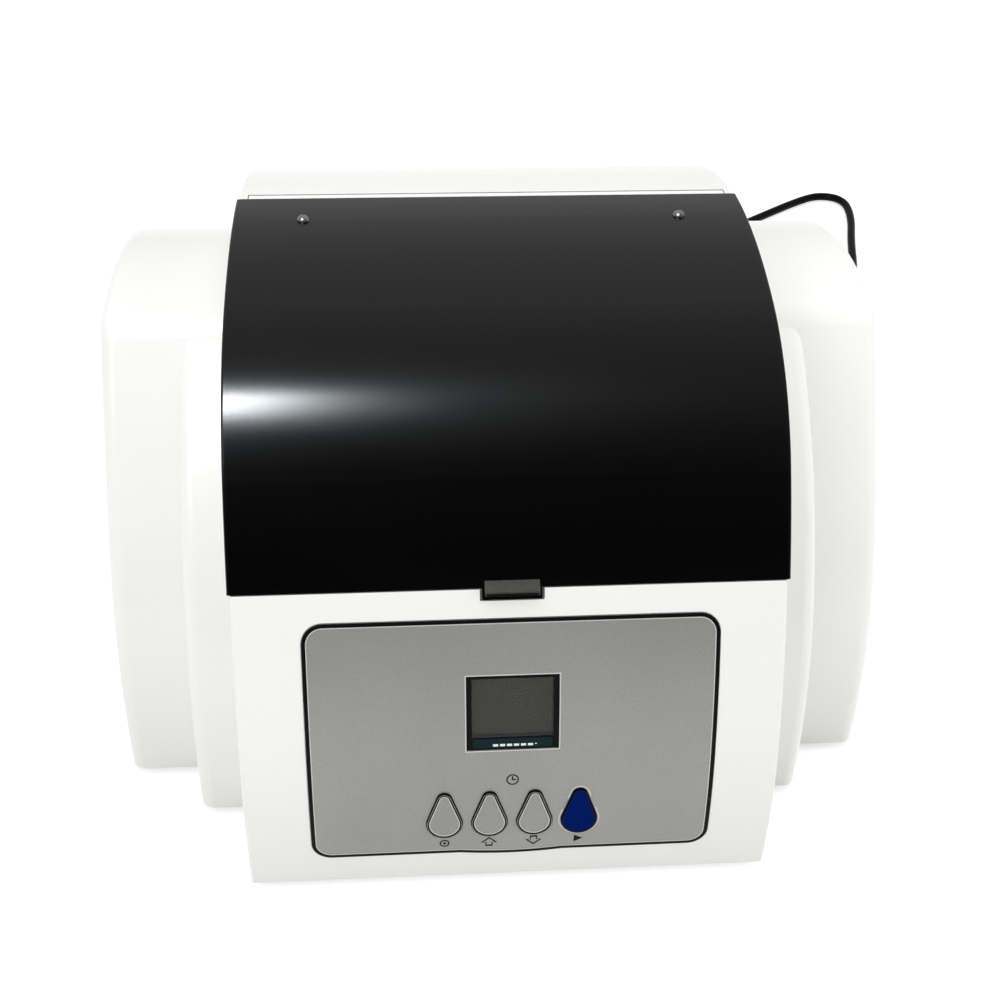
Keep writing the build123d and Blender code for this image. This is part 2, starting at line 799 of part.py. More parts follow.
def key(x):
    """A key cap with a flange behind the wall, and a stem that meets its switch."""
    flange_top = -wall - key_back_gap
    flange_low = flange_top - key_flange
    cap = layer(Pos(x, 0) * teardrop(), flange_low, key_proud, board_plane)
    top = [e for e in cap.edges() if board_plane.to_local_coords(e.center()).Z > key_proud - 0.01]
    cap = fillet(top, 0.5)
    stem_end = -control_board_depth + switch_height + plunger_rise + key_travel + side_gap
    cap += layer(Pos(x, 0) * teardrop(key_flange_grow), flange_low, flange_top, board_plane)
    return cap + layer(Pos(x, 0) * Circle(key_stem_radius), stem_end, flange_low + 0.5, board_plane)


for name, x in zip(key_names, key_places):
    parts[name] = key(x)

board_outline = Pos(0, control_board_rise) * Rectangle(control_board_width, control_board_height)
for x, y in post_places:
    board_outline -= Pos(x, y) * Circle(board_screw_radius + panel_gap)
parts["control_board"] = layer(
    board_outline, -control_board_depth - board_thickness, -control_board_depth, board_plane
)


def key_switch(x):
    low, top = -control_board_depth, switch_height - control_board_depth
    body = layer(Pos(x, 0) * RectangleRounded(switch_size, switch_size, 1), low, top, board_plane)
    return body + layer(Pos(x, 0) * Circle(plunger_radius), low + 1, top + plunger_rise, board_plane)


parts["key_switches"] = group([key_switch(x) for x in key_places])


def board_screw(x, y):
    back = -control_board_depth - board_thickness
    head = layer(Pos(x, y) * Circle(board_screw_head), back - 1.5, back, board_plane)
    shank = Pos(x, y) * Circle(board_screw_radius - fit_clearance)
    return head + layer(shank, back - 0.5, back + 6, board_plane)


parts["board_screws"] = group([board_screw(x, y) for x, y in post_places])
board_back = -control_board_depth - board_thickness
parts["buzzer"] = layer(
    Pos(*buzzer_place) * Circle(buzzer_radius), board_back - buzzer_height, board_back, board_plane
)

# ---- base plate, feet, case screws ----


def base_plate():
    plate = within_cavity(plate_gap, -deep) & block(
        (-body_width, -body_depth, foot_height), (body_width, body_depth, plate_top)
    )
    for x, y in boss_places:
        plate -= rod((x, y, 0), (x, y, plate_top + 1), screw_radius + panel_gap)
    slot = extrude(SlotOverall(plate_slot_length, plate_slot_width, rotation=90), 2 * plate_top)
    for i in range(plate_slot_count):
        plate -= Pos((i - (plate_slot_count - 1) / 2) * plate_slot_pitch, plate_slot_y, 0) * slot
    return plate


parts["base_plate"] = base_plate()
front_foot = (centre_half - front_foot_inset, front_foot_inset - rear_y)
rear_foot = (body_width / 2 - rear_foot_inset[0], rear_y - rear_foot_inset[1])
feet = []
for x, y in (front_foot, rear_foot):
    for side in (-1, 1):
        foot = Cone(foot_top_radius, foot_radius, foot_height, align=(Align.CENTER, Align.CENTER, Align.MIN))
        feet.append(Pos(side * x, y, 0) * foot)
parts["rubber_feet"] = group(feet)


def case_screw(x, y):
    head = rod((x, y, foot_height - screw_head_height), (x, y, foot_height), screw_head_radius)
    return head + rod((x, y, foot_height), (x, y, foot_height + screw_length), screw_radius)


parts["case_screws"] = group([case_screw(x, y) for x, y in boss_places])

# ---- drive frame and motor ----

frame_low = plate_top + isolator_height
frame_top = frame_low + frame_thickness
plate_back = frame_front_y + frame_thickness
motor_front = plate_back
isolator_x = frame_half - isolator_inset
isolator_ys = (frame_front_y - front_isolator_reach, frame_rear_y - isolator_inset)
isolator_places = [(x, y) for x in (-isolator_x, isolator_x) for y in isolator_ys]
motor_screw_sides = (-motor_screw_offset, motor_screw_offset)
motor_screw_places = [(x, motor_z + z) for x in motor_screw_sides for z in motor_screw_sides]


def drive_frame():
    """A bent steel bracket: a bed on the isolators and an upright that holds the motor and the pivot."""
    bed_front = isolator_ys[0] - isolator_inset
    bed = block((-frame_half, bed_front, frame_low), (frame_half, frame_rear_y, frame_top))
    bed = fillet(bed.edges().filter_by(Axis.Z), 6)
    shoulder, roof = motor_z + frame_shoulder, pivot_z + arm_hub_radius
    upright = Plane.XZ * make_face(Polyline([
        (-frame_half, frame_low), (frame_half, frame_low), (frame_half, shoulder),
        (frame_top_half, roof), (-frame_top_half, roof), (-frame_half, shoulder)], close=True))
    shape = bed + Pos(0, plate_back, 0) * extrude(upright, frame_thickness)
    for side in (-1, 1):
        gusset = make_face(Polyline([
            (plate_back, frame_top - 1), (plate_back + gusset_length, frame_top - 1),
            (plate_back, frame_top + gusset_length)], close=True))
        shape += across(gusset, gusset_half, side * (frame_half - gusset_half))
    low, high = frame_front_y - 9, plate_back + 1
    shape -= rod((0, low, motor_z), (0, high, motor_z), bell_nose_radius + panel_gap)
    shape -= rod((0, low, pivot_z), (0, high, pivot_z), pivot_radius + fit_clearance)
    for x, z in motor_screw_places:
        shape -= rod((x, low, z), (x, high, z), screw_radius + panel_gap)
    for x, y in isolator_places:
        shape -= rod((x, y, frame_low - 1), (x, y, frame_top + 1), isolator_waist)
    return shape


parts["drive_frame"] = drive_frame()


def isolator(x, y):
    """A rubber bush: its waist fills the frame's hole, with a flange on each side."""
    low, cap_top = rod((x, y, plate_top), (x, y, frame_low), isolator_radius), frame_top + isolator_cap
    waist = rod((x, y, plate_top), (x, y, cap_top), isolator_waist - fit_clearance)
    cap = rod((x, y, frame_top), (x, y, cap_top), isolator_radius)
    return low + waist + cap - rod((x, y, plate_top - 1), (x, y, cap_top + 1), screw_radius + 0.1)


parts["isolators"] = group([isolator(x, y) for x, y in isolator_places])
cap_top = frame_top + isolator_cap
parts["frame_screws"] = group([
    rod((x, y, plate_top), (x, y, cap_top), screw_radius) + rod((x, y, cap_top), (x, y, cap_top + 2), 3.2)
    for x, y in isolator_places
])

can_front = motor_front + bell_thickness
can_rear = can_front + motor_length
motor_rear = can_rear + bell_thickness


def motor_can():
    can = tube((0, can_front, motor_z), (0, can_rear, motor_z), motor_radius, motor_radius - 3)
    slot = Plane.YZ * (Pos((can_front + can_rear) / 2, motor_z) * SlotOverall(motor_length * 0.5, 5))
    cutter = extrude(slot, 2 * motor_radius, both=True)
    for turn in range(3):
        can -= cutter.rotate(Axis((0, 0, motor_z), (0, 1, 0)), 60 * turn)
    return can


parts["motor_can"] = motor_can()


def end_bell(face, way):
    """A motor end: a disc that closes the can, with a nose that holds the bearing."""
    inner, outer = face, face + way * bell_thickness
    nose = outer + way * bell_nose_length
    bell = rod((0, inner, motor_z), (0, outer, motor_z), motor_radius)
    bell += rod((0, inner, motor_z), (0, nose, motor_z), bell_nose_radius)
    bell -= rod((0, inner - way, motor_z), (0, nose + way, motor_z), shaft_radius + 1.2)
    seat = nose - way * bearing_width
    return bell - rod((0, seat, motor_z), (0, nose + way, motor_z), bearing_radius + fit_clearance)


def bearing(face, way, outer, inner, width):
    ring = tube((0, face, motor_z), (0, face - way * width, motor_z), outer, inner)
    for place in (face, face - way * width):
        ring -= tube((0, place - 0.4, motor_z), (0, place + 0.4, motor_z), outer - 1.3, inner + 1.3)
    return ring


front_bell = end_bell(can_front, -1)
for x, z in motor_screw_places:
    front_bell -= rod((x, can_front - 0.5, z), (x, motor_front - 1, z), screw_radius + fit_clearance)
front_nose = motor_front - bell_nose_length
rear_nose = motor_rear + bell_nose_length
parts["motor_front_bell"] = front_bell
parts["motor_rear_bell"] = end_bell(can_rear, 1)
parts["motor_bearings"] = group([
    bearing(front_nose, -1, bearing_radius, shaft_radius + running_clearance, bearing_width),
    bearing(rear_nose, 1, bearing_radius, shaft_radius + running_clearance, bearing_width),
])
parts["motor_screws"] = group([
    rod((x, motor_front + 3, z), (x, frame_front_y, z), screw_radius)
    + rod((x, frame_front_y, z), (x, frame_front_y - 2, z), screw_head_radius)
    for x, z in motor_screw_places
])

crank_rear = arm_y + arm_thickness / 2 + 3.5
crank_rear_face = crank_rear + crank_thickness
fan_front = rear_nose + 1.5
shaft_rear = fan_front + fan_width + 2


def motor_rotor():
    front, rear, radius = can_front + 8, can_rear - 8, motor_radius - 8
    core = tube((0, front, motor_z), (0, rear, motor_z), radius, shaft_radius + fit_clearance)
    groove = rod((0, can_front, motor_z + radius), (0, can_rear, motor_z + radius), 1.6)
    for turn in range(12):
        core -= groove.rotate(Axis((0, 0, motor_z), (0, 1, 0)), 30 * turn)
    return core


parts["motor_rotor"] = motor_rotor()


def cooling_fan():
    front, rear = fan_front, fan_front + fan_width
    fan = tube((0, front, motor_z), (0, rear, motor_z), 8, shaft_radius + fit_clearance)
    blade = block((-0.8, front + 0.5, motor_z + 7), (0.8, rear, motor_z + fan_radius))
    blade = blade.rotate(Axis((0, (front + rear) / 2, motor_z), (0, 0, 1)), 24)
    for turn in range(fan_blades):
        fan += blade.rotate(Axis((0, 0, motor_z), (0, 1, 0)), 360 / fan_blades * turn)
    return fan


parts["cooling_fan"] = cooling_fan()


def drive_crank():
    """A hub on the shaft with a counterweight below the throw of its pin."""
    front, rear = crank_rear, crank_rear_face
    hub = rod((0, front, motor_z), (0, rear, motor_z), crank_radius * 0.7)
    sector = rod((0, front, motor_z), (0, rear, motor_z), crank_radius)
    hub += sector & block((-20, front, motor_z - 20), (20, rear, motor_z))
    hub -= rod((0, front + 1.5, motor_z), (0, rear + 1, motor_z), shaft_radius + fit_clearance)
    pin_z = motor_z + crank_throw
    return hub + rod((0, front + 0.5, pin_z), (0, arm_y - arm_thickness / 2, pin_z), crank_pin_radius)


parts["motor_shaft"] = rod((0, crank_rear + 1.5, motor_z), (0, shaft_rear, motor_z), shaft_radius)
parts["drive_crank"] = drive_crank()
crank_bearing = tube(
    (0, arm_y - crank_bearing_width / 2, motor_z + crank_throw),
    (0, arm_y + crank_bearing_width / 2, motor_z + crank_throw),
    crank_bearing_radius, crank_pin_radius + fit_clearance,
)
parts["crank_bearing"] = crank_bearing

# ---- swing arm and capsule clamp ----

fork_half = crank_bearing_radius + 2 * crank_throw + side_gap
hub_front = arm_y - arm_thickness / 2
hub_rear = arm_y + arm_thickness / 2
upright_in = moving_jaw_x + jaw_head_thickness + spring_room
upright_out = upright_in + upright_thickness
bar_low = clamp_z - jaw_head_radius - bar_height
bar_top = bar_low + bar_height - 2.0


def swing_arm():
    """The arm: a fork round the crank bearing, a hub, a tapered stem and a yoke for the capsule."""
    outer = fork_half + fork_prong
    fork_foot = motor_z - crank_bearing_radius - crank_throw - 1
    fork_roof = motor_z + crank_bearing_radius + 2 * crank_throw + 1
    side = make_face(Polyline([
        (-outer, fork_foot), (-fork_half, fork_foot), (-fork_half, fork_roof), (fork_half, fork_roof),
        (fork_half, fork_foot), (outer, fork_foot), (outer, fork_roof + 3), (arm_stem_half, pivot_z - 2),
        (arm_stem_half, pivot_z), (arm_stem_half - 2, bar_low + 1), (2 - arm_stem_half, bar_low + 1),
        (-arm_stem_half, pivot_z), (-arm_stem_half, pivot_z - 2), (-outer, fork_roof + 3)], close=True))
    front = Plane(origin=(0, hub_front, 0), x_dir=(1, 0, 0), z_dir=(0, -1, 0))
    arm = extrude(front * side, -arm_thickness)
    arm += rod((0, hub_front, pivot_z), (0, hub_rear, pivot_z), arm_hub_radius)
    low_y, high_y = arm_y - upright_width / 2, arm_y + upright_width / 2
    left = fixed_jaw_x - upright_thickness
    yoke = block((left, low_y, bar_low), (upright_out, high_y, bar_top))
    yoke += block((left, low_y, bar_low), (fixed_jaw_x, high_y, clamp_z + jaw_head_radius))
    yoke += block((upright_in, low_y, bar_low), (upright_out, high_y, clamp_z + jaw_head_radius))
    tips = [e for e in yoke.edges().filter_by(Axis.X) if e.center().Z > clamp_z]
    yoke = fillet(tips, jaw_head_radius * 0.7)
    arm += yoke
    dish = jaw_head_radius - jaw_rim
    arm -= rod((fixed_jaw_x - capsule_dish, arm_y, clamp_z), (fixed_jaw_x + 1, arm_y, clamp_z), dish)
    bore = jaw_stem_radius + running_clearance
    arm -= rod((upright_in - 1, arm_y, clamp_z), (upright_out + 1, arm_y, clamp_z), bore)
    bush = pivot_radius + bush_wall + fit_clearance
    return arm - rod((0, hub_front - 1, pivot_z), (0, hub_rear + 1, pivot_z), bush)


parts["swing_arm"] = swing_arm()


def pivot_bushes():
    """Two flanged bronze bushes, pressed in from the hub's two sides."""
    solids = []
    bore, outer = pivot_radius + running_clearance, pivot_radius + bush_wall
    for face, way in ((hub_front, 1), (hub_rear, -1)):
        front = face - way * bush_flange
        sleeve = tube((0, front, pivot_z), (0, face + way * 3.2, pivot_z), outer, bore)
        flange = tube((0, front, pivot_z), (0, face, pivot_z), outer + 1.5, bore)
        solids.append(sleeve + flange)
    return group(solids)


parts["pivot_bushes"] = pivot_bushes()
pin_shoulder = hub_rear + bush_flange + side_gap
pin_front = hub_front - bush_flange - side_gap
parts["pivot_pin"] = (
    rod((0, plate_back, pivot_z), (0, pin_front - 2, pivot_z), pivot_radius)
    + rod((0, frame_front_y, pivot_z), (0, pin_shoulder, pivot_z), pivot_radius + 2)
    + rod((0, pin_front, pivot_z), (0, pin_front - 2, pivot_z), pivot_radius + 2.5)
)

knob_start = upright_out + side_gap + 1.2


def clamp_jaw():
    front, back = moving_jaw_x, moving_jaw_x + jaw_head_thickness
    head = rod((front, arm_y, clamp_z), (back, arm_y, clamp_z), jaw_head_radius)
    head -= rod(
        (front - 1, arm_y, clamp_z), (front + capsule_dish, arm_y, clamp_z), jaw_head_radius - jaw_rim
    )
    stem_end = knob_start + knob_length - 2
    return head + rod((back - 1, arm_y, clamp_z), (stem_end, arm_y, clamp_z), jaw_stem_radius)


parts["clamp_jaw"] = clamp_jaw()


def clamp_knob():
    """A gripped knob on the jaw's stem, pulled out to take a capsule."""
    start, end = knob_start, knob_start + knob_length
    knob = rod((start, arm_y, clamp_z), (end, arm_y, clamp_z), knob_radius)
    groove_z = clamp_z + knob_radius + 0.5
    groove = rod((start + 1.5, arm_y, groove_z), (end + 1, arm_y, groove_z), 1.3)
    for turn in range(10):
        knob -= groove.rotate(Axis((0, arm_y, clamp_z), (1, 0, 0)), 36 * turn)
    return knob - rod((start - 1, arm_y, clamp_z), (end - 2, arm_y, clamp_z), jaw_stem_radius + fit_clearance)


parts["clamp_knob"] = clamp_knob()


def helix_point(turn):
    """A place on the clamp spring, and its direction there, after a number of turns."""
    start = moving_jaw_x + jaw_head_thickness + spring_wire / 2 + 0.1
    room = spring_room - spring_wire - 0.2
    angle, pitch = 2 * pi * turn, room / spring_turns
    y, z = spring_radius * cos(angle), spring_radius * sin(angle)
    return Vector(start + pitch * turn, arm_y + y, clamp_z + z), Vector(pitch / (2 * pi), -z, y).normalized()


def clamp_spring():
    edges = []
    for quarter in range(4 * spring_turns):
        place, way = helix_point(quarter / 4)
        edges += biarc(place, way, *helix_point((quarter + 1) / 4))
    place, way = helix_point(0)
    section = Plane(origin=place, z_dir=way) * Circle(spring_wire / 2)
    return sweep(section, path=Wire(edges))


parts["clamp_spring"] = clamp_spring()
spring_gap = (spring_room - spring_wire - 0.2) / spring_turns - spring_wire
print("clamp spring: gap between its turns", round(spring_gap, 2))

# ---- power electronics ----


def transformer():
    """A laminated core with two windows, and the wound bobbin on its middle leg."""
    x, y = side_inset - body_width / 2, transformer_y
    width, height, stack, leg = transformer_width, transformer_height, transformer_stack, transformer_leg
    low = plate_top
    core = block((x - width / 2, y - stack / 2, low), (x + width / 2, y + stack / 2, low + height))
    foot_half = width / 2 + transformer_foot
    core += block((x - foot_half, y - stack / 2, low), (x + foot_half, y + stack / 2, low + 2))
    edge = leg / 2
    for side in (-1, 1):
        near, far = sorted((side * leg / 2, side * (width / 2 - edge)))
        core -= block((x + near, y - stack, low + edge), (x + far, y + stack, low + height - edge))
    gap = 0.2
    outer = block(
        (x - width / 2 + edge + gap, y - stack / 2 - coil_overhang, low + edge + gap),
        (x + width / 2 - edge - gap, y + stack / 2 + coil_overhang, low + height - edge - gap),
    )
    outer = fillet(outer.edges().filter_by(Axis.Z), 5)
    hole = block(
        (x - leg / 2 - gap, y - stack / 2 - gap, low), (x + leg / 2 + gap, y + stack / 2 + gap, low + height)
    )
    return core, outer - hole


parts["transformer_core"], parts["transformer_coil"] = transformer()

px, py = body_width / 2 - side_inset, power_board_y
board_low = plate_top + spacer_height
spacer_x, spacer_y = power_board_width / 2 - spacer_inset, power_board_depth / 2 - spacer_inset
spacer_places = [(px + x, py + y) for x in (-spacer_x, spacer_x) for y in (-spacer_y, spacer_y)]
parts["power_board"] = block(
    (px - power_board_width / 2, py - power_board_depth / 2, board_low),
    (px + power_board_width / 2, py + power_board_depth / 2, board_low + board_thickness),
)
parts["board_spacers"] = group([
    rod((x, y, plate_top), (x, y, board_low), spacer_radius) for x, y in spacer_places
])
board_top = board_low + board_thickness
components = []
for x, y, radius, height in capacitors:
    components.append(rod((px + x, py + y, board_top), (px + x, py + y, board_top + height), radius))
for x, y, width, depth, height in board_blocks:
    corner = (px + x - width / 2, py + y - depth / 2, board_top)
    components.append(Pos(*corner) * Box(width, depth, height, align=(Align.MIN,) * 3))
parts["power_components"] = group(components)

# ---- rear panel ----


def rocker_frame():
    x, z = rocker_place
    lip = rocker_frame_lip
    half_w, half_h = rocker_width / 2, rocker_height / 2
    shape = block(
        (x - half_w - lip, panel_y, z - half_h - lip), (x + half_w + lip, panel_y + 1.6, z + half_h + lip)
    )
    shape += block((x - half_w, panel_y - 16, z - half_h), (x + half_w, panel_y, z + half_h))
    half_w, half_h = half_w - 1.5, half_h - 1.5
    shape -= block((x - half_w, panel_y - 8, z - half_h), (x + half_w, panel_y + 2, z + half_h))
    for dz in (-5, 5):
        shape += block((x - 2.4, panel_y - 24, z + dz - 0.4), (x + 2.4, panel_y - 16, z + dz + 0.4))
    return shape


parts["rocker_frame"] = rocker_frame()
rocker_pivot = (rocker_place[0], panel_y - 2.5, rocker_place[1])


def rocker():
    """The rocker at rest in its off position: two faces that meet at a shallow angle."""
    x, y, z = rocker_pivot
    half_w, reach = rocker_width / 2 - 1.5 - 0.3, rocker_height / 2 - 1.5 - 0.9
    side = make_face([
        Line((y - 3.5, z - 3), (y + 3.2, z - reach)),
        ThreePointArc((y + 3.2, z - reach), (y + 2.5, z), (y + 3.2, z + reach)),
        Line((y + 3.2, z + reach), (y - 3.5, z + 3)),
        Line((y - 3.5, z + 3), (y - 3.5, z - 3)),
    ])
    return across(side, half_w, x).rotate(Axis((x, y, z), (1, 0, 0)), rocker_tilt_angle)


parts["rocker"] = rocker()


def fuse_holder():
    x, z = fuse_place
    cap_radius = fuse_radius - 1.5
    body = rod((x, panel_y, z), (x, panel_y + 1.8, z), fuse_radius + fuse_flange)
    body += rod((x, panel_y - 26, z), (x, panel_y, z), fuse_radius)
    body += rod((x, panel_y - 32, z), (x, panel_y - 26, z), 1.2)
    body -= rod((x, panel_y - 22, z), (x, panel_y + 3, z), cap_radius + 0.1)
    cap = rod((x, panel_y - 4, z), (x, panel_y + 5.5, z), cap_radius)
    cap -= block((x - 0.7, panel_y + 4.3, z - 9), (x + 0.7, panel_y + 6, z + 9))
    return body, cap


parts["fuse_holder"], parts["fuse_cap"] = fuse_holder()

gx, gz = gland_place
gland_end = rear_y + gland_length


def cord_gland():
    """A tapered strain relief with ring slots, held in the rear wall by a flange on each side."""
    out = make_face(Polyline([
        (0, -wall - 2.5), (gland_radius + 1.5, -wall - 2.5), (gland_radius + 1.5, -wall - 0.02),
        (gland_radius, -wall - 0.02), (gland_radius, 0), (gland_radius + 2, 0), (gland_radius + 2, 2.5),
        (gland_radius - 1, 4), (cord_diameter / 2 + 0.9, gland_length), (0, gland_length)], close=True))
    turned = revolve(Plane(origin=(gx, rear_y, gz)) * out, Axis((gx, rear_y, gz), (0, 1, 0)))
    for i in range(5):
        place = rear_y + 8 + i * 4.4
        turned -= tube((gx, place, gz), (gx, place + 1.4, gz), gland_radius + 2, cord_diameter / 2 + 0.3)
    return turned


parts["cord_gland"] = cord_gland()

# ---- mains cord ----


def corner_radius(before, corner, after):
    """The largest arc that a corner of the route has room for, and a little less."""
    arriving, leaving = corner - before, after - corner
    half_turn = radians(arriving.get_angle(leaving)) / 2
    return 0.45 * min(arriving.length, leaving.length) / tan(half_turn)


def cord_run():
    points = [Vector(*p) for p in cord_route]
    radii = [corner_radius(*points[i - 1:i + 2]) for i in range(1, len(points) - 1)]
    print("cord radii:", [round(r, 1) for r in radii])
    path = FilletPolyline(*points, radius=radii)
    section = Plane(origin=points[0], z_dir=points[1] - points[0]) * Circle(cord_diameter / 2)
    tube_solid = sweep(section, path=path)
    print("cord run:", round(path.length, 1), "mm, volume against section times length:",
          round(tube_solid.volume / (pi * cord_diameter ** 2 / 4 * path.length), 4))
    return tube_solid, path.length


parts["cord_run"], run_length = cord_run()


def least_gap(edges, width, apart):
    """The least gap of a wound tube to itself, between places further apart along it than a length."""
    places, along = [], 0.0
    for edge in edges:
        for i in range(6):
            places.append((edge @ (i / 6), along + edge.length * i / 6))
        along += edge.length
    return min(
        (a - b).length for i, (a, s) in enumerate(places) for b, t in places[i + 1:] if t - s > apart
    ) - width


run_end = Vector(*cord_route[-1])
run_way = (run_end - Vector(*cord_route[-2])).normalized()
coil_outer = coil_inner + coil_pitch * coil_turns


def coil_local(turned):
    """A place on the coil, and its direction, after a number of clockwise turns from its outer start."""
    if turned <= coil_turns:
        radius, rise, grow = coil_outer - coil_pitch * turned, 0.0, -coil_pitch
    else:
        radius, rise = coil_inner + coil_pitch * (turned - coil_turns - coil_climb), coil_layer
        grow = coil_pitch
    angle = -2 * pi * turned
    out, ahead = Vector(cos(angle), sin(angle)), Vector(sin(angle), -cos(angle))
    way = out * (grow / (2 * pi)) + ahead * radius
    return out * radius + Vector(0, 0, rise), way.normalized()


coil_start, coil_start_way = coil_local(0)
coil_turn = degrees(atan2(run_way.Y, run_way.X) - atan2(coil_start_way.Y, coil_start_way.X))


def coil_place(turned):
    place, way = coil_local(turned)
    around = Location((0, 0, 0), (0, 0, coil_turn))
    place = Vector(*(around * Pos(*(place - coil_start))).position)
    way = Vector(*(around * Pos(*way)).position)
    return run_end + run_way * cord_diameter + place, way


def cord_coil():
    """The put-away length: turns that spiral in on the floor, climb a layer and spiral out on top."""
    inward = [coil_turns * i / coil_steps for i in range(coil_steps + 1)]
    outward_turns = [coil_turns + coil_climb + t for t in inward]
    stations = [coil_place(t) for t in inward + outward_turns]
    edges = [Edge.make_line(run_end, stations[0][0])]
    for (a, a_way), (b, b_way) in zip(stations, stations[1:]):
        edges += biarc(a, a_way, b, b_way)
    end, way = stations[-1]
    edges.append(Edge.make_line(end, end + way * cord_diameter))
    path = Wire(edges)
    section = Plane(origin=run_end, z_dir=run_way) * Circle(cord_diameter / 2)
    coil = sweep(section, path=path)
    print("cord coil:", round(path.length, 1), "mm, least gap to itself:",
          round(least_gap(edges, cord_diameter, 3 * coil_inner), 2), "volume ratio",
          round(coil.volume / (pi * cord_diameter ** 2 / 4 * path.length), 4))
    return coil, end + way * cord_diameter, way, path.length


parts["cord_coil"], plug_start, plug_way, coil_length = cord_coil()
print("whole cord:", round(run_length + coil_length, 1), "mm")
plug_plane = Plane(origin=plug_start, x_dir=plug_way.cross(Vector(0, 0, 1)), z_dir=plug_way)
plug_half = plug_start.Z


def plug():
    """A moulded flat plug that lies on the floor beside the coil."""
    relief_end = plug_plane.offset(plug_relief)
    relief = loft([plug_plane * Circle(plug_relief_radius), relief_end * Circle(plug_neck)])
    body = loft([
        relief_end * RectangleRounded(plug_width - 3 * plug_taper, 2 * plug_half - plug_taper, 4),
        plug_plane.offset(plug_relief + plug_length) * RectangleRounded(plug_width, 2 * plug_half, 5),
    ])
    return relief + body


parts["plug"] = plug()
face = plug_relief + plug_length
parts["plug_pins"] = group([
    layer(Pos(x, 0) * Rectangle(blade_thickness, blade_width), face, face + blade_length, plug_plane)
    for x in (-blade_gap / 2, blade_gap / 2)
])

# ---- write ----

for name, part in parts.items():
    export_step(part, f"parts/{name}.step")
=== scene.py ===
"""Looks of a bench-top dental amalgamator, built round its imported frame. Metres, +Z up, front at -Y."""
import math

import bmesh
import bpy
from mathutils import Matrix, Vector


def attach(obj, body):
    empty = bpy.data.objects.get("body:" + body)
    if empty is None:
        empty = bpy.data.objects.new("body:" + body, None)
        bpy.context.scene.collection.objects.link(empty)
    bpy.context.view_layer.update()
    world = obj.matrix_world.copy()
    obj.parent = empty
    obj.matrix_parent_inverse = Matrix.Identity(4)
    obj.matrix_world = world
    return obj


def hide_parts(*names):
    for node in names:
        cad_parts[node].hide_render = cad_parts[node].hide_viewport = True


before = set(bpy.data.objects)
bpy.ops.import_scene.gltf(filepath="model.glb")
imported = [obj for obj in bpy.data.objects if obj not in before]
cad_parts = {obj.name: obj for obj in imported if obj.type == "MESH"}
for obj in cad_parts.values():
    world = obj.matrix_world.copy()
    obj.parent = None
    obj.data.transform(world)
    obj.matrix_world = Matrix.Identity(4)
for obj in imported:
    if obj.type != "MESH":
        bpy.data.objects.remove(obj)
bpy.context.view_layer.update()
MM = 0.001

# ---- driving values, in millimetres and degrees ----

# the photograph's camera
CAMERA_PLACE = (-37.3, -474.6, 429.9)
CAMERA_YAW, CAMERA_PITCH, CAMERA_ROLL = 4.82, 35.58, -1.33
CAMERA_LENS, CAMERA_SENSOR = 54.0, 36.0

# side profile of the centre: a heading of 90 goes straight up, 0 straight to the rear
PROFILE_FOOT_HEIGHT, PROFILE_FOOT_HEADING = 3.0, 97.0
PROFILE_RADII, PROFILE_HEADINGS = [158.0, 293.0, 89.0, 192.0], [77.4, 57.8, 17.5, -20.0]
BODY_DEPTH = 226.0

# front panel
FILM_LOW, FILM_HIGH, FILM_HALF, FILM_CORNER = 92.2, 67.0, 70.3, 7.0
FILM_SWELL, FILM_SWELL_HALF, FILM_PROUD = 1.1, 18.0, 0.2
BORDER_WIDTH, HAIRLINE = 1.35, 0.3
DRAPE_BELOW, DRAPE_ABOVE, DRAPE_HALVINGS = 4, 6, 40  # how far past the film a print may be draped
WINDOW_HEADING, WINDOW_WIDTH, WINDOW_HEIGHT, BEZEL_DROP = 73.7, 31.8, 28.2, 0.6
WINDOW_LINE = (0.4, 0.02)  # its outer and inner edge, out from the window
GLASS_WIDTH, GLASS_HEIGHT, GLASS_RISE = 28.0, 22.4, 1.6
KEY_HEADING, KEY_WIDTH, KEY_HEIGHT, KEY_TIP, KEY_PROUD = 85.4, 12.9, 20.4, 2.7, 0.9
KEY_FILLET, KEY_GAP, KEY_INK_DEPTH = 0.5, 0.35, 0.04
KEYS = {"key_recall": -23.7, "key_up": -7.9, "key_down": 7.9, "key_start": 23.7}
ROCKER_PIVOT, ROCKER_TILT, ROCKER_REACH = (108.0, 106.0, 40.0), 9.0, 7.1
ROCKER_ENDS_OUT, ROCKER_MIDDLE_OUT = 3.2, 2.5
LIP_GAP, RING_WIDTH, RING_RISE, RING_OVERLAP = 0.06, 1.05, 0.16, 0.02
HALO_WIDTH, HALO_GAP = 0.85, 0.03
INK_LIFT, INK_BITE = 0.05, 0.04

# how finely prints follow a curved surface
OUTLINE_STEP, BAR_STEP, WINDOW_SPLITS = 4.0, 0.7, 8

# icons: heights over the keys' middle, sizes, and arcs as (first, last, steps)
ICON_HEIGHT, ICON_LINE, ICON_RING, ICON_DOT = -13.6, 0.28, (1.75, 1.25), 0.55
ICON_ARC, DOT_ARC, CLOCK_ARC, MARK_ARC = (90, -250, 24), (90, -250, 16), (90, -255, 28), (90, -252, 20)
ARROW = [(0, 2.1), (2.5, -0.2), (1.1, -0.2), (1.1, -1.8), (-1.1, -1.8), (-1.1, -0.2), (-2.5, -0.2)]
ARROW_SINK, ARROW_REACH = 0.1, 1.6
TRIANGLE = [(-1.4, 1.7), (1.7, 0), (-1.4, -1.7)]
CLOCK_HEIGHT, CLOCK_RING, CLOCK_HAND, CLOCK_UP, CLOCK_ACROSS = 14.8, (2.2, 1.75), 0.22, 1.4, 1.2

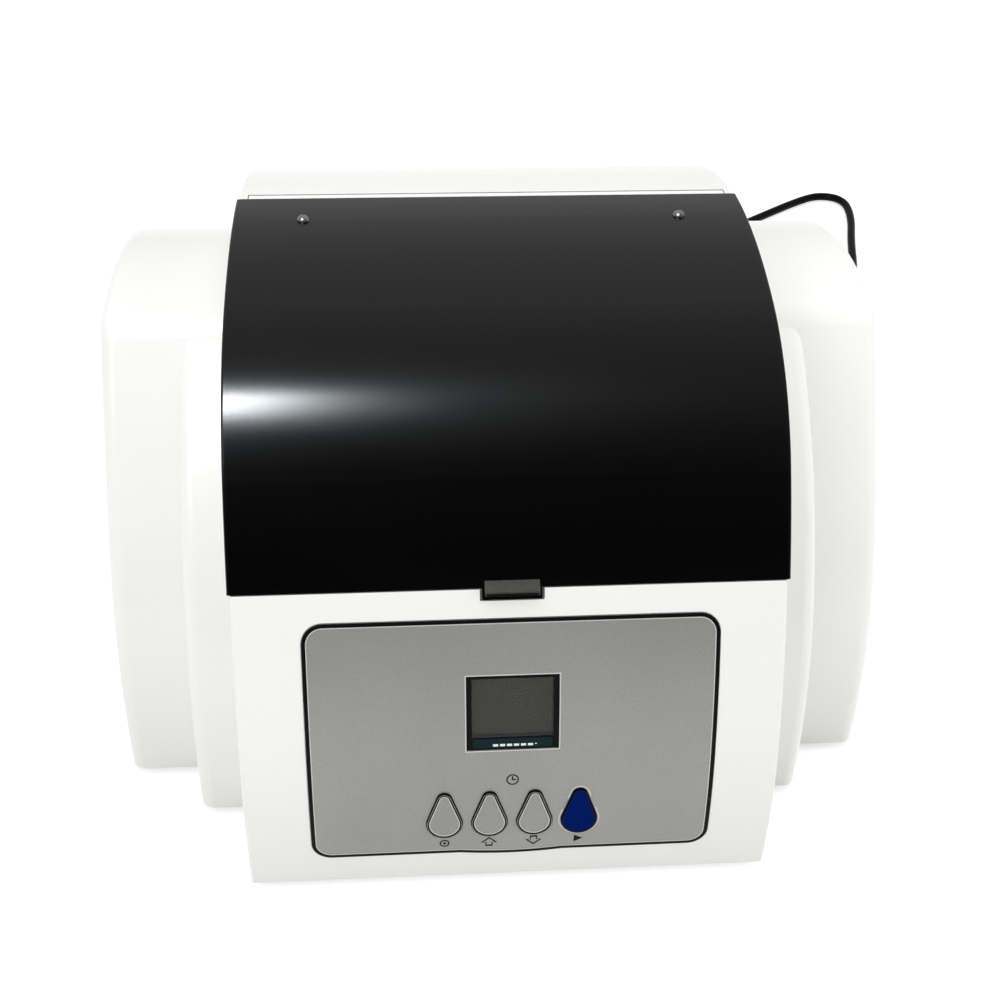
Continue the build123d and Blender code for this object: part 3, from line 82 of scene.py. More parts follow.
# the rocker's marks: how far out on its face, as a share of its reach, then the ring and the bar
MARK_OUT, MARK_RING, MARK_WIDTH, MARK_HEIGHT = 0.55, (1.5, 1.05), 0.5, 2.8

# the display: the cell behind the glass, and the contact strip with its row of marks
CELL_DEPTH, CELL_RISE, CELL_MARGIN = 3.6, 0.3, 0.6
STRIP_MARGIN, STRIP_HEIGHT, STRIP_RISE = 0.8, 3.4, 2.5
DASHES, DASH_FIRST, DASH_PITCH, DASH_RISE, DASH_SIZE = 6, -5.9, 2.4, 1.75, (1.75, 0.85)
DOT_PLACE, DOT_RISE, DOT_SIZE = 8.0, 1.95, (0.6, 0.35)

# lid, and the outline of its domed screw heads as (radius, height)
TAB_HEADING, TAB_HEIGHT, TAB_EDGE = 64.9, 4.9, 0.9
LID_SCREW_HEADING, LID_SCREW_X = 1.8, 68.7
SCREW_DOME = [(0.0, 1.42), (0.3, 1.44), (0.5, 1.7), (0.9, 1.66), (1.3, 1.5), (1.7, 1.2),
              (2.05, 0.78), (2.27, 0.3), (2.3, 0.04), (0.0, 0.04)]
SCREW_STEPS = 40

# mains cord: the route's points, then the coil's turns
CORD_DIAMETER, CORD_LENGTH, CORD_FLOOR = 5.0, 1763.5, 2.5
CORD_ROUTE = [
    (58, 145, 26),
    (58, 171, 26),
    (63, 204, 9),
    (73, 236, CORD_FLOOR),
    (88, 270, CORD_FLOOR),
    (104, 312, CORD_FLOOR),
    (130, 360, CORD_FLOOR),
    (165, 403, CORD_FLOOR),
    (205, 434, CORD_FLOOR),
    (238, 460, CORD_FLOOR),
    (258, 472, CORD_FLOOR),
    (274, 464, CORD_FLOOR),
    (272, 436, CORD_FLOOR),
    (262, 400, CORD_FLOOR),
    (252, 354, CORD_FLOOR),
    (236, 310, CORD_FLOOR),
    (213, 269, CORD_FLOOR),
    (197, 224, CORD_FLOOR),
]
COIL_INNER, COIL_PITCH, COIL_LAYER, COIL_TURNS, COIL_CLIMB = 20.5, 5.7, 5.5, 17 / 6, 0.5
COIL_POINTS_PER_TURN = 16

# colours as they look, in linear light
WHITE = (0.9, 0.9, 0.89)
FILM_SILVER = (0.3, 0.3, 0.293)
INK = (0.003, 0.003, 0.0035)
INK_BLUE = (0.001, 0.002, 0.012)
PALE = (0.62, 0.62, 0.6)
KEY_BLUE = (0.0004, 0.0095, 0.122)
KEY_SILVER = (0.325, 0.325, 0.31)
CREAM = (0.66, 0.63, 0.52)
SMOKE = (0.0006, 0.0006, 0.0006)

# specular levels: of the black plastics and inks, and of the keys' caps
DARK_GLOSS, BLUE_KEY_GLOSS, SILVER_KEY_GLOSS = 0.08, 0.01, 0.03
DARK = 0.06  # a colour with no channel over this counts as black

# the room: its light on the object, and in the gloss how bright its back is and where it grows bright
ROOM_LIGHT, ROOM_BACK = (0.63, 0.63, 0.625), 0.6
ROOM_DARK_Y, ROOM_BRIGHT_Y = -0.95, 0.45

# the floor, in metres, with its own light where it is looked at
FLOOR_HALF, FLOOR_SINK, FLOOR_WHITE, FLOOR_GLOW = 6.0, 0.0003, 0.6, 0.6

# lamps, in metres and watts, as (place, target, size, power, colour): the first ones light the object
# and don't show in its gloss, the others show in its gloss alone
LAMPS = {
    "key": ((-0.8, -0.9, 0.95), (-0.02, -0.05, 0.08), (0.7, 0.6), 6.4, (1.0, 1.0, 0.985)),
    "fill": ((1.5, -0.45, 0.6), (0, 0, 0.08), (1.2, 1.0), 8.2, (1.0, 0.99, 0.96)),
    "top": ((0, 0.2, 1.7), (0, 0, 0.1), (1.6, 1.4), 9.5, (1.0, 1.0, 0.99)),
}
GLOSS_LAMPS = {
    "glow": ((-0.52, -0.8, 1.25), (-0.09, -0.05, 0.17), (0.3, 1.0), 4.5, (0.8, 0.9, 1.0)),
    "window": ((-0.27, -0.55, 1.32), (-0.09, -0.05, 0.17), (0.16, 0.24), 9.5, (0.9, 0.96, 1.0)),
}

MIX_FIRST, MIX_SECOND, MIX_RESULT = 6, 7, 2  # a mix node's sockets for colours


# ---- side profile and panel geometry ----


def outward(heading):
    """Out of the profile, as (y, z), where it has that heading."""
    return Vector((-math.sin(math.radians(heading)), math.cos(math.radians(heading))))


def profile_arcs():
    """The arcs of the front as (centre, radius, first heading, last heading), in millimetres."""
    belly = PROFILE_RADII[0] * (1 - math.sin(math.radians(PROFILE_FOOT_HEADING)))
    point, heading = Vector((belly - BODY_DEPTH / 2, PROFILE_FOOT_HEIGHT)), PROFILE_FOOT_HEADING
    arcs = []
    for radius, end in zip(PROFILE_RADII, PROFILE_HEADINGS):
        middle = point - outward(heading) * radius
        arcs.append((middle, radius, heading, end))
        point, heading = middle + outward(end) * radius, end
    return arcs


ARCS = profile_arcs()


def on_profile(heading, out=0.0):
    """The point of the front, as (y, z), where the profile has that heading, or so far out of it."""
    for middle, radius, first, last in ARCS:
        if first >= heading >= last:
            return middle + outward(heading) * (radius + out)
    raise ValueError(f"no heading {heading} on the front")


class Panel:
    """A flat sketch plane against the curved front, in millimetres: u to the right, v up, w out."""

    def __init__(self, origin, heading):
        self.origin, self.normal = origin, outward(heading)
        self.up = Vector((self.normal.y, -self.normal.x))

    def along_up(self, v):
        """How far up, in metres from the frame's origin, the sketch's height v lies."""
        return (self.origin.dot(self.up) + v) * MM

    def flat(self, u, v, w):
        """The point of the sketch plane at (u, v), so far out of it."""
        place = self.origin + self.up * v + self.normal * w
        return Vector((u, place.x, place.y)) * MM

    def draped(self, u, v, w):
        """The point over the curved surface that lies square to the sketch plane at (u, v)."""
        low, high = FILM_LOW + DRAPE_BELOW, FILM_HIGH - DRAPE_ABOVE
        for _ in range(DRAPE_HALVINGS):
            middle = (low + high) / 2
            if (on_profile(middle, w) - self.origin).dot(self.up) < v:
                low = middle
            else:
                high = middle
        place = on_profile((low + high) / 2, w)
        return Vector((u, place.x, place.y)) * MM


FILM_FOOT, FILM_HEAD = on_profile(FILM_LOW), on_profile(FILM_HIGH)
FILM_PANEL = Panel((FILM_FOOT + FILM_HEAD) / 2, (FILM_LOW + FILM_HIGH) / 2)
FILM_HEIGHT = (FILM_HEAD - FILM_FOOT).length
KEY_PANEL = Panel(on_profile(KEY_HEADING), KEY_HEADING)
WINDOW_PANEL = Panel(on_profile(WINDOW_HEADING), WINDOW_HEADING)
TAB_PANEL = Panel(on_profile(TAB_HEADING), TAB_HEADING)
SCREW_PANEL = Panel(on_profile(LID_SCREW_HEADING), LID_SCREW_HEADING)


# ---- outlines, as lists of (u, v) that go round the same way ----


def arc_points(middle, radius, first, last, steps):
    turns = [math.radians(first + (last - first) * i / steps) for i in range(steps + 1)]
    return [(middle[0] + radius * math.cos(t), middle[1] + radius * math.sin(t)) for t in turns]


def split_sides(outline, count_of):
    """The closed outline with each side divided into as many parts as count_of says for its length."""
    found = []
    for (a, b), (c, d) in zip(outline, outline[1:] + outline[:1]):
        count = count_of(math.hypot(c - a, d - b))
        found += [(a + (c - a) * i / count, b + (d - b) * i / count) for i in range(count)]
    return found


def divided(outline, step):
    """The closed outline with its long sides divided, so that it can follow a curved surface."""
    return split_sides(outline, lambda length: max(1, round(length / step)))


def film_outline(inset, steps=10):
    """The keypad film's outline, moved in: a rounded rectangle whose foot swells down in the middle."""
    half, height, corner = FILM_HALF - inset, FILM_HEIGHT / 2 - inset, FILM_CORNER - inset
    radius = (FILM_SWELL_HALF ** 2 + FILM_SWELL ** 2) / (2 * FILM_SWELL)
    reach = math.sqrt(radius ** 2 - (radius - FILM_SWELL) ** 2)
    points = []
    for sx, sy, first in ((1, 1, 90), (1, -1, 0)):
        middle = (sx * (half - corner), sy * (height - corner))
        points += arc_points(middle, corner, first, first - 90, steps)
    lean = math.degrees(math.asin(reach / radius))
    points += arc_points((0, radius - FILM_SWELL - height), radius, lean - 90, -lean - 90, 2 * steps)
    for sx, sy, first in ((-1, -1, -90), (-1, 1, 180)):
        middle = (sx * (half - corner), sy * (height - corner))
        points += arc_points(middle, corner, first, first - 90, steps)
    return points


def rectangle(width, height, u=0.0, v=0.0):
    right, top = width / 2, height / 2
    return [(u - right, v + top), (u + right, v + top), (u + right, v - top), (u - right, v - top)]


def teardrop(grow, u=0.0, steps=16):
    """A key's outline: a wide round foot and a narrow round tip, joined by tangent lines."""
    foot, tip = KEY_WIDTH / 2, KEY_TIP
    low, high = foot - KEY_HEIGHT / 2, KEY_HEIGHT / 2 - tip
    lean = math.degrees(math.asin((foot - tip) / (high - low)))
    points = arc_points((u, high), tip + grow, 180 - lean, lean, steps)
    return points + arc_points((u, low), foot + grow, lean, -180 - lean, 2 * steps)


def arrow(grow, u, v, way):
    """A block arrow that points up or down."""
    scale = 1 + grow / ARROW_REACH
    return [(u + a * scale, v + way * (b - ARROW_SINK) * scale) for a, b in ARROW]


# ---- meshes ----


def finished(name, mesh_maker, body, material):
    """An object made from a bmesh that the maker fills, riding on a body."""
    mesh = bpy.data.meshes.new(name)
    work = bmesh.new()
    mesh_maker(work)
    bmesh.ops.recalc_face_normals(work, faces=work.faces)
    work.to_mesh(mesh)
    work.free()
    piece = bpy.data.objects.new(name, mesh)
    bpy.context.scene.collection.objects.link(piece)
    mesh.materials.append(material)
    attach(piece, body)
    return piece


def ink_ring(work, place, outer, inner, low, high):
    """A closed ring of ink between two outlines of as many points."""
    rows = [[work.verts.new(place(u, v, w)) for u, v in outline]
            for outline, w in ((outer, high), (inner, high), (inner, low), (outer, low))]
    for first, second in zip(rows, rows[1:] + rows[:1]):
        for i in range(len(outer)):
            j = (i + 1) % len(outer)
            work.faces.new((first[i], first[j], second[j], second[i]))


def ink_patch(work, place, outline, low, high):
    """A closed patch of ink inside one outline."""
    top = [work.verts.new(place(u, v, high)) for u, v in outline]
    bottom = [work.verts.new(place(u, v, low)) for u, v in outline]
    work.faces.new(top)
    work.faces.new(bottom[::-1])
    for i in range(len(outline)):
        j = (i + 1) % len(outline)
        work.faces.new((top[i], bottom[i], bottom[j], top[j]))


# ---- materials ----


def nodes_of(material):
    tree = material.node_tree
    return tree.nodes, tree.links, tree.nodes["Principled BSDF"]


def noise(material, scale, stretch=(1, 1, 1), detail=3.0, roughness=0.5):
    """A noise over the piece's own coordinates: scale is in patches a metre, stretch slows an axis."""
    nodes, links, _ = nodes_of(material)
    place = nodes.new("ShaderNodeTexCoord")
    mapping = nodes.new("ShaderNodeMapping")
    mapping.inputs["Scale"].default_value = stretch
    texture = nodes.new("ShaderNodeTexNoise")
    texture.inputs["Scale"].default_value = scale
    texture.inputs["Detail"].default_value = detail
    texture.inputs["Roughness"].default_value = roughness
    links.new(place.outputs["Object"], mapping.inputs["Vector"])
    links.new(mapping.outputs["Vector"], texture.inputs["Vector"])
    return texture.outputs["Fac"]


def spread(material, value, low, high, narrow=0.25):
    """A value from 0 to 1, most of it near a half, spread from low to high without a flat top."""
    nodes, links, _ = nodes_of(material)
    remap = nodes.new("ShaderNodeMapRange")
    remap.clamp = False
    remap.inputs["From Min"].default_value = narrow
    remap.inputs["From Max"].default_value = 1 - narrow
    remap.inputs["To Min"].default_value = low
    remap.inputs["To Max"].default_value = high
    links.new(value, remap.inputs["Value"])
    return remap.outputs["Result"]


def blend_colours(material, factor, first, second):
    """A mix of two colours, or colour outputs, by a factor output."""
    nodes, links, _ = nodes_of(material)
    mix = nodes.new("ShaderNodeMix")
    mix.data_type = "RGBA"
    links.new(factor, mix.inputs["Factor"])
    for socket, colour in ((mix.inputs[MIX_FIRST], first), (mix.inputs[MIX_SECOND], second)):
        if isinstance(colour, bpy.types.NodeSocket):
            links.new(colour, socket)
        else:
            socket.default_value = (*colour, 1)
    return mix.outputs[MIX_RESULT]


def bump(material, height, strength, depth):
    """Let a height output, with its depth in metres, roughen the surface."""
    nodes, links, shader = nodes_of(material)
    node = nodes.new("ShaderNodeBump")
    node.inputs["Strength"].default_value = strength
    node.inputs["Distance"].default_value = depth
    links.new(height, node.inputs["Height"])
    links.new(node.outputs["Normal"], shader.inputs["Normal"])


def finish(name, colour, roughness, metallic=0.0, mottle=(40, 0.05), grain=(1500, 0.1, 0.00002),
           stretch=(1, 1, 1), rough_spread=0.15, **sockets):
    """A surface with mottled colour, uneven gloss and a fine grain. mottle is (patches a metre, share),
    grain is (patches a metre, strength, depth in metres), and sockets are further values of the shader."""
    material = bpy.data.materials.new(name)
    material.use_nodes = True
    _, links, shader = nodes_of(material)
    shader.inputs["Metallic"].default_value = metallic
    if max(colour) < DARK and not metallic:
        shader.inputs["Specular IOR Level"].default_value = DARK_GLOSS
    for socket, value in sockets.items():
        shader.inputs[socket.replace("_", " ")].default_value = value
    patches = noise(material, mottle[0], stretch)
    share = mottle[1]
    darker = tuple(c * (1 - share) for c in colour)
    lighter = tuple(min(1.0, c * (1 + share)) for c in colour)
    tint = blend_colours(material, spread(material, patches, 0, 1), darker, lighter)
    links.new(tint, shader.inputs["Base Color"])
    fine = noise(material, grain[0], stretch, detail=4.0)
    low, high = roughness * (1 - rough_spread), min(1.0, roughness * (1 + rough_spread))
    links.new(spread(material, fine, low, high), shader.inputs["Roughness"])
    bump(material, fine, grain[1], grain[2])
    return material


def brushed(name, colour, roughness, along=(1, 1, 0.03), share=0.03):
    """Metal with fine lines along one axis."""
    return finish(name, colour, roughness, 1.0, (900, share), (2600, 0.06, 0.00001), along)


def shell_material():
    """Glossy moulded plastic: an even white with the faint ripple of a moulding under its gloss."""
    return finish("white_shell", WHITE, 0.3, mottle=(5, 0.006), grain=(900, 0.02, 0.00001),
                  rough_spread=0.06, Coat_Weight=0.12, Coat_Roughness=0.16, IOR=1.5,
                  Specular_IOR_Level=0.4)


def lid_material():
    """Smoked acrylic, dark through and through, with the faint ripple of its bend under the gloss."""
    return finish("smoked_lid", SMOKE, 0.2, mottle=(30, 0.3), grain=(60, 0.02, 0.0001),
                  stretch=(0.25, 1, 1), rough_spread=0.08, IOR=1.49, Specular_IOR_Level=0.42, Alpha=0.965)


def film_material(name, colour, metallic=0.35):
    """Printed metallic film: tiny flakes that catch the light, over a slow drift of tone."""
    material = finish(name, colour, 0.42, metallic, mottle=(14, 0.07), grain=(2400, 0.3, 0.00003))
    nodes, links, shader = nodes_of(material)
    flakes = spread(material, noise(material, 3200, detail=2.0), 0.88, 1.16)
    tint = shader.inputs["Base Color"].links[0].from_socket
    scale = nodes.new("ShaderNodeVectorMath")
    scale.operation = "SCALE"
    links.new(tint, scale.inputs[0])
    links.new(flakes, scale.inputs["Scale"])
    links.new(scale.outputs["Vector"], shader.inputs["Base Color"])
    return material


def two_tone(material, way, level, short_of):
    """Keep the colour past a level, in metres along a direction in (y, z), and paint the rest."""
    nodes, links, shader = nodes_of(material)
    place = nodes.new("ShaderNodeTexCoord")
    along = nodes.new("ShaderNodeVectorMath")
    along.operation = "DOT_PRODUCT"
    along.inputs[1].default_value = (0, way.x, way.y)
    links.new(place.outputs["Object"], along.inputs[0])
    past = nodes.new("ShaderNodeMath")
    past.operation = "GREATER_THAN"
    past.inputs[1].default_value = level
    links.new(along.outputs["Value"], past.inputs[0])
    tint = shader.inputs["Base Color"].links[0].from_socket
    mixed = blend_colours(material, past.outputs["Value"], short_of, tint)
    links.new(mixed, shader.inputs["Base Color"])
    return material


def key_material(name, colour, edge):
    """A key cap: its printed top, and the ink that wraps over its edge and down its side."""
    if colour == KEY_SILVER:
        material = film_material(name, colour, 0.1)
        _, _, shader = nodes_of(material)
        shader.inputs["Specular IOR Level"].default_value = SILVER_KEY_GLOSS
    else:
        material = finish(name, colour, 0.45, mottle=(300, 0.08), grain=(1800, 0.12, 0.00002),
                          Specular_IOR_Level=BLUE_KEY_GLOSS)
    top = on_profile(KEY_HEADING, KEY_PROUD).dot(KEY_PANEL.normal) * MM
    return two_tone(material, KEY_PANEL.normal, top - KEY_INK_DEPTH * MM, edge)


def tab_material():
    """Grey-brown moulding whose lowest edge is black."""
    material = finish("pull_tab", (0.05, 0.05, 0.038), 0.3, mottle=(200, 0.12), grain=(700, 0.06, 0.00004),
                      Specular_IOR_Level=0.3)
    return two_tone(material, TAB_PANEL.up, TAB_PANEL.along_up(TAB_EDGE - TAB_HEIGHT / 2), INK)


def laminated_material(name, colour):
    """Stacked steel sheets, seen as fine lines across the stack."""
    material = finish(name, colour, 0.45, 0.9, (60, 0.15), (700, 0.2, 0.00005))
    nodes, links, shader = nodes_of(material)
    place = nodes.new("ShaderNodeTexCoord")
    wave = nodes.new("ShaderNodeTexWave")
    wave.bands_direction = "Y"
    wave.inputs["Scale"].default_value = 320
    wave.inputs["Distortion"].default_value = 0.4
    links.new(place.outputs["Object"], wave.inputs["Vector"])
    tint = shader.inputs["Base Color"].links[0].from_socket
    dark = tuple(c * 0.35 for c in colour)
    links.new(blend_colours(material, wave.outputs["Fac"], dark, tint), shader.inputs["Base Color"])
    return material


def board_material():
    """Green solder mask with paler copper runs under it."""
    material = finish("board_green", (0.012, 0.1, 0.04), 0.35, mottle=(60, 0.1), grain=(900, 0.1, 0.00002))
    nodes, links, shader = nodes_of(material)
    place = nodes.new("ShaderNodeTexCoord")
    runs = nodes.new("ShaderNodeTexBrick")
    runs.inputs["Scale"].default_value = 160
    runs.inputs["Mortar Size"].default_value = 0.05
    links.new(place.outputs["Object"], runs.inputs["Vector"])
    tint = shader.inputs["Base Color"].links[0].from_socket
    mixed = blend_colours(material, runs.outputs["Fac"], tint, (0.03, 0.2, 0.08))
    links.new(mixed, shader.inputs["Base Color"])
    return material


def component_material():
    """Parts on the power board: a dark tone that changes from block to block."""
    return finish("component_mix", (0.02, 0.022, 0.03), 0.4, mottle=(28, 0.9), grain=(1200, 0.1, 0.00002))


def plain(name, colour, roughness):
    """An ordinary moulded plastic."""
    return finish(name, colour, roughness, 0.0, (70, 0.1), (1300, 0.15, 0.00003))


def ink_material(name, colour, share):
    """Printing ink, mottled by that share."""
    return finish(name, colour, 0.4, mottle=(200, share), grain=(2400, 0.12, 0.00001))


def metals():
    """The metals of the inner parts, and the nodes that each of them dresses."""
    steel = brushed("screw_steel", (0.56, 0.56, 0.57), 0.3)
    ground = brushed("ground_steel", (0.62, 0.62, 0.62), 0.2, (1, 0.02, 1))
    alloy = finish("cast_alloy", (0.52, 0.52, 0.53), 0.45, 0.9, (80, 0.12), (900, 0.4, 0.00008))
    machined = finish("machined_alloy", (0.66, 0.66, 0.67), 0.34, 0.55, (900, 0.03), (2600, 0.06, 0.00001),
                      (1, 0.04, 1))
    return [
        (steel, ["case_screws", "board_screws", "frame_screws", "motor_screws"]),
        (brushed("lid_screw_chrome", (0.3, 0.32, 0.31), 0.32), ["lid_screws"]),
        (brushed("polished_chrome", (0.75, 0.75, 0.76), 0.08), ["lid_magnet"]),
        (ground, ["hinge_pin", "pivot_pin", "motor_shaft", "motor_bearings", "crank_bearing", "clamp_jaw",
                  "clamp_spring"]),
        (alloy, ["motor_front_bell", "motor_rear_bell"]),
        (machined, ["drive_crank", "swing_arm"]),
        (brushed("frame_zinc", (0.5, 0.49, 0.44), 0.34, (1, 0.05, 1)), ["drive_frame"]),
        (brushed("bush_bronze", (0.5, 0.3, 0.12), 0.35), ["pivot_bushes"]),
        (brushed("blade_plate", (0.62, 0.56, 0.4), 0.25), ["plug_pins"]),
        (laminated_material("rotor_stack", (0.3, 0.26, 0.22)), ["motor_rotor"]),
        (laminated_material("core_stack", (0.22, 0.22, 0.24)), ["transformer_core"]),
    ]


def plastics():
    """The plastics, rubbers and films, and the nodes that each of them dresses."""
    rubber = finish("rubber_black", (0.006, 0.006, 0.006), 0.75, mottle=(120, 0.2),
                    grain=(2200, 0.35, 0.00005))
    satin = finish("satin_black", (0.014, 0.014, 0.015), 0.32, mottle=(60, 0.15),
                   grain=(1600, 0.12, 0.00003), Specular_IOR_Level=0.35)
    bezel = finish("bezel_black", (0.003, 0.003, 0.0035), 0.35, mottle=(60, 0.15),
                   grain=(1600, 0.12, 0.00003))
    tub = finish("tub_grey", (0.2, 0.2, 0.205), 0.5, mottle=(25, 0.05), grain=(1400, 0.4, 0.00006))
    lens = finish("display_glass", (0.75, 0.77, 0.75), 0.06, mottle=(50, 0.02),
                  grain=(120, 0.002, 0.00001), Transmission_Weight=1.0, IOR=1.3, Specular_IOR_Level=0.3)
    paint = finish("motor_paint", (0.035, 0.036, 0.04), 0.38, 0.2, (50, 0.1), (500, 0.2, 0.00008))
    tape = finish("winding_tape", (0.5, 0.34, 0.05), 0.35, 0.0, (120, 0.15), (260, 0.3, 0.0001),
                  (1, 1, 0.2))
    return [
        (shell_material(), ["upper_housing", "lid_hinge_strip"]),
        (lid_material(), ["lid_cover"]),
        (tab_material(), ["lid_pull_tab"]),
        (plain("base_black", (0.008, 0.008, 0.0085), 0.55), ["base_plate"]),
        (rubber, ["rubber_feet", "slot_grommet", "isolators", "cord_gland"]),
        (plain("matte_black", (0.007, 0.007, 0.007), 0.6),
         ["reed_sensor", "key_switches", "buzzer", "clamp_knob", "fuse_holder"]),
        (satin, ["cooling_fan", "rocker_frame", "rocker", "fuse_cap", "plug"]),
        (tub, ["chamber_tub"]),
        (film_material("overlay_film", FILM_SILVER), ["keypad_overlay"]),
        (bezel, ["display_bezel"]),
        (lens, ["display_lens"]),
        (plain("display_dark", (0.03, 0.032, 0.028), 0.5), ["display_module"]),
        (board_material(), ["control_board", "power_board"]),
        (component_material(), ["power_components"]),
        (plain("spacer_nylon", (0.62, 0.6, 0.5), 0.5), ["board_spacers"]),
        (paint, ["motor_can"]),
        (tape, ["transformer_coil"]),
    ]


def all_materials():
    """Each CAD node's material, by the node's name."""
    found = {name: material for material, names in metals() + plastics() for name in names}
    for name in KEYS:
        blue = name == "key_start"
        colour, edge = (KEY_BLUE, INK_BLUE) if blue else (KEY_SILVER, INK)
        found[name] = key_material(name + "_cap", colour, edge)
    return found


MATERIALS = all_materials()


def dress_nodes():
    """Give each node that stays in sight its material; the cord's two solids are replaced."""
    for name, material in MATERIALS.items():
        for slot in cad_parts[name].material_slots:
            slot.material = material


# ---- camera ----


def add_camera():
    """The photograph's camera: it looks ahead, turned by yaw, down by pitch and on its side by roll."""
    yaw, pitch, roll = (math.radians(a) for a in (CAMERA_YAW, CAMERA_PITCH, CAMERA_ROLL))
    ahead = Vector((math.sin(yaw) * math.cos(pitch), math.cos(yaw) * math.cos(pitch), -math.sin(pitch)))
    level = Vector((math.cos(yaw), -math.sin(yaw), 0))
    down = ahead.cross(level)
    right = math.cos(roll) * level + math.sin(roll) * down
    lower = -math.sin(roll) * level + math.cos(roll) * down
    data = bpy.data.cameras.new("camera")
    data.lens, data.sensor_width = CAMERA_LENS, CAMERA_SENSOR
    data.clip_start, data.clip_end = 0.01, 50
    camera = bpy.data.objects.new("camera", data)
    turn = Matrix((right, -lower, -ahead)).transposed().to_4x4()
    camera.matrix_world = Matrix.Translation(Vector(CAMERA_PLACE) * MM) @ turn
    bpy.context.scene.collection.objects.link(camera)
    bpy.context.scene.camera = camera


# ---- mains cord ----


def coil_points():
    """The coil's control points, and the plug's end of the cord after them. The coil winds in on the
    floor, climbs a layer and winds out again."""
    end, before = (Vector(p) for p in (CORD_ROUTE[-1], CORD_ROUTE[-2]))
    way = (end - before).normalized()
    outer = COIL_INNER + COIL_PITCH * COIL_TURNS
    start_way = Vector((-COIL_PITCH / (2 * math.pi), -outer, 0))
    turn = Matrix.Rotation(math.atan2(way.y, way.x) - math.atan2(start_way.y, start_way.x), 3, "Z")
    start = end + way * CORD_DIAMETER
    total = 2 * COIL_TURNS + COIL_CLIMB
    count = round(total * COIL_POINTS_PER_TURN)
    points = []
    for i in range(count + 1):
        turned = total * i / count
        climb = min(1.0, max(0.0, (turned - COIL_TURNS) / COIL_CLIMB))
        if turned <= COIL_TURNS:
            radius = outer - COIL_PITCH * turned
        else:
            radius = COIL_INNER + COIL_PITCH * max(0.0, turned - COIL_TURNS - COIL_CLIMB)
        angle = -2 * math.pi * turned
        place = Vector((radius * math.cos(angle), radius * math.sin(angle), 0))
        place = turn @ (place - Vector((outer, 0, 0)))
        points.append(start + place + Vector((0, 0, COIL_LAYER * climb)))
    last_way = (points[-1] - points[-2]).normalized()
    last_way.z = 0
    return points, points[-1] + last_way * CORD_DIAMETER


def add_cord():
    """The mains cord as one smooth tube, from the gland through its route and coil to the plug."""
    data = bpy.data.curves.new("mains_cord", "CURVE")
    data.dimensions = "3D"
    data.bevel_depth = CORD_DIAMETER / 2 * MM
    data.bevel_resolution = 5
    data.resolution_u = 8
    data.use_fill_caps = True
    coil, plug_end = coil_points()
    points = [Vector(p) for p in CORD_ROUTE] + coil + [plug_end]
    spline = data.splines.new("NURBS")
    spline.points.add(len(points) - 1)
    for point, place in zip(spline.points, points):
        point.co = (*(place * MM), 1)
    spline.order_u = 3
    spline.use_endpoint_u = True
    cord = bpy.data.objects.new("mains_cord", data)
    bpy.context.scene.collection.objects.link(cord)
    data.materials.append(finish("cord_black", (0.0025, 0.0025, 0.003), 0.45, mottle=(60, 0.15),
                                 grain=(1500, 0.15, 0.00003)))
    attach(cord, "housing")
    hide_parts("cord_run", "cord_coil")


# ---- prints on the front ----


def printed(name, place, colour, rings=(), patches=(), level=FILM_PROUD, body="housing",
            slot="overlay_film"):
    """One piece of print: rings as (outer, inner) outlines and patches as outlines."""
    low, high = level - INK_BITE, level + INK_LIFT

    def fill(work):
        for outer, inner in rings:
            ink_ring(work, place, outer, inner, low, high)
        for outline in patches:
            ink_patch(work, place, outline, low, high)

    return finished(name, fill, body, colour)


def add_film_prints(ink, pale):
    """The film's black border with its pale hairline, and the pale line round the window."""
    edges = [divided(film_outline(inset), OUTLINE_STEP)
             for inset in (0.0, BORDER_WIDTH, BORDER_WIDTH + HAIRLINE)]
    printed("panel_border", FILM_PANEL.draped, ink, [(edges[0], edges[1])])
    printed("panel_hairline", FILM_PANEL.draped, pale, [(edges[1], edges[2])])
    line = [split_sides(rectangle(WINDOW_WIDTH + 2 * grow, WINDOW_HEIGHT + 2 * grow),
                        lambda length: WINDOW_SPLITS) for grow in WINDOW_LINE]
    printed("window_line", WINDOW_PANEL.draped, pale, [tuple(line)])


def add_key_prints(ink, pale):
    """The ring round the blue key, each key's outline, and the silver keys' hairline inside it."""
    x = KEYS["key_start"]
    halo = (teardrop(HALO_WIDTH, x), teardrop(KEY_GAP + HALO_GAP, x))
    printed("start_key_halo", KEY_PANEL.draped, ink_material("print_cream", CREAM, 0.04), [halo])
    dark_blue = ink_material("print_dark_blue", INK_BLUE, 0.2)
    for name, x in KEYS.items():
        blue = name == "key_start"
        on_key = {"level": KEY_PROUD, "body": name, "slot": name + "_cap"}
        outer = teardrop(-KEY_FILLET + RING_OVERLAP, x)
        inner, hair = ([(u, v + RING_RISE) for u, v in teardrop(-width, x)]
                       for width in (RING_WIDTH, RING_WIDTH + HAIRLINE))
        printed(name + "_outline", KEY_PANEL.flat, dark_blue if blue else ink, [(outer, inner)], **on_key)
        if not blue:
            printed(name + "_hairline", KEY_PANEL.flat, pale, [(inner, hair)], **on_key)


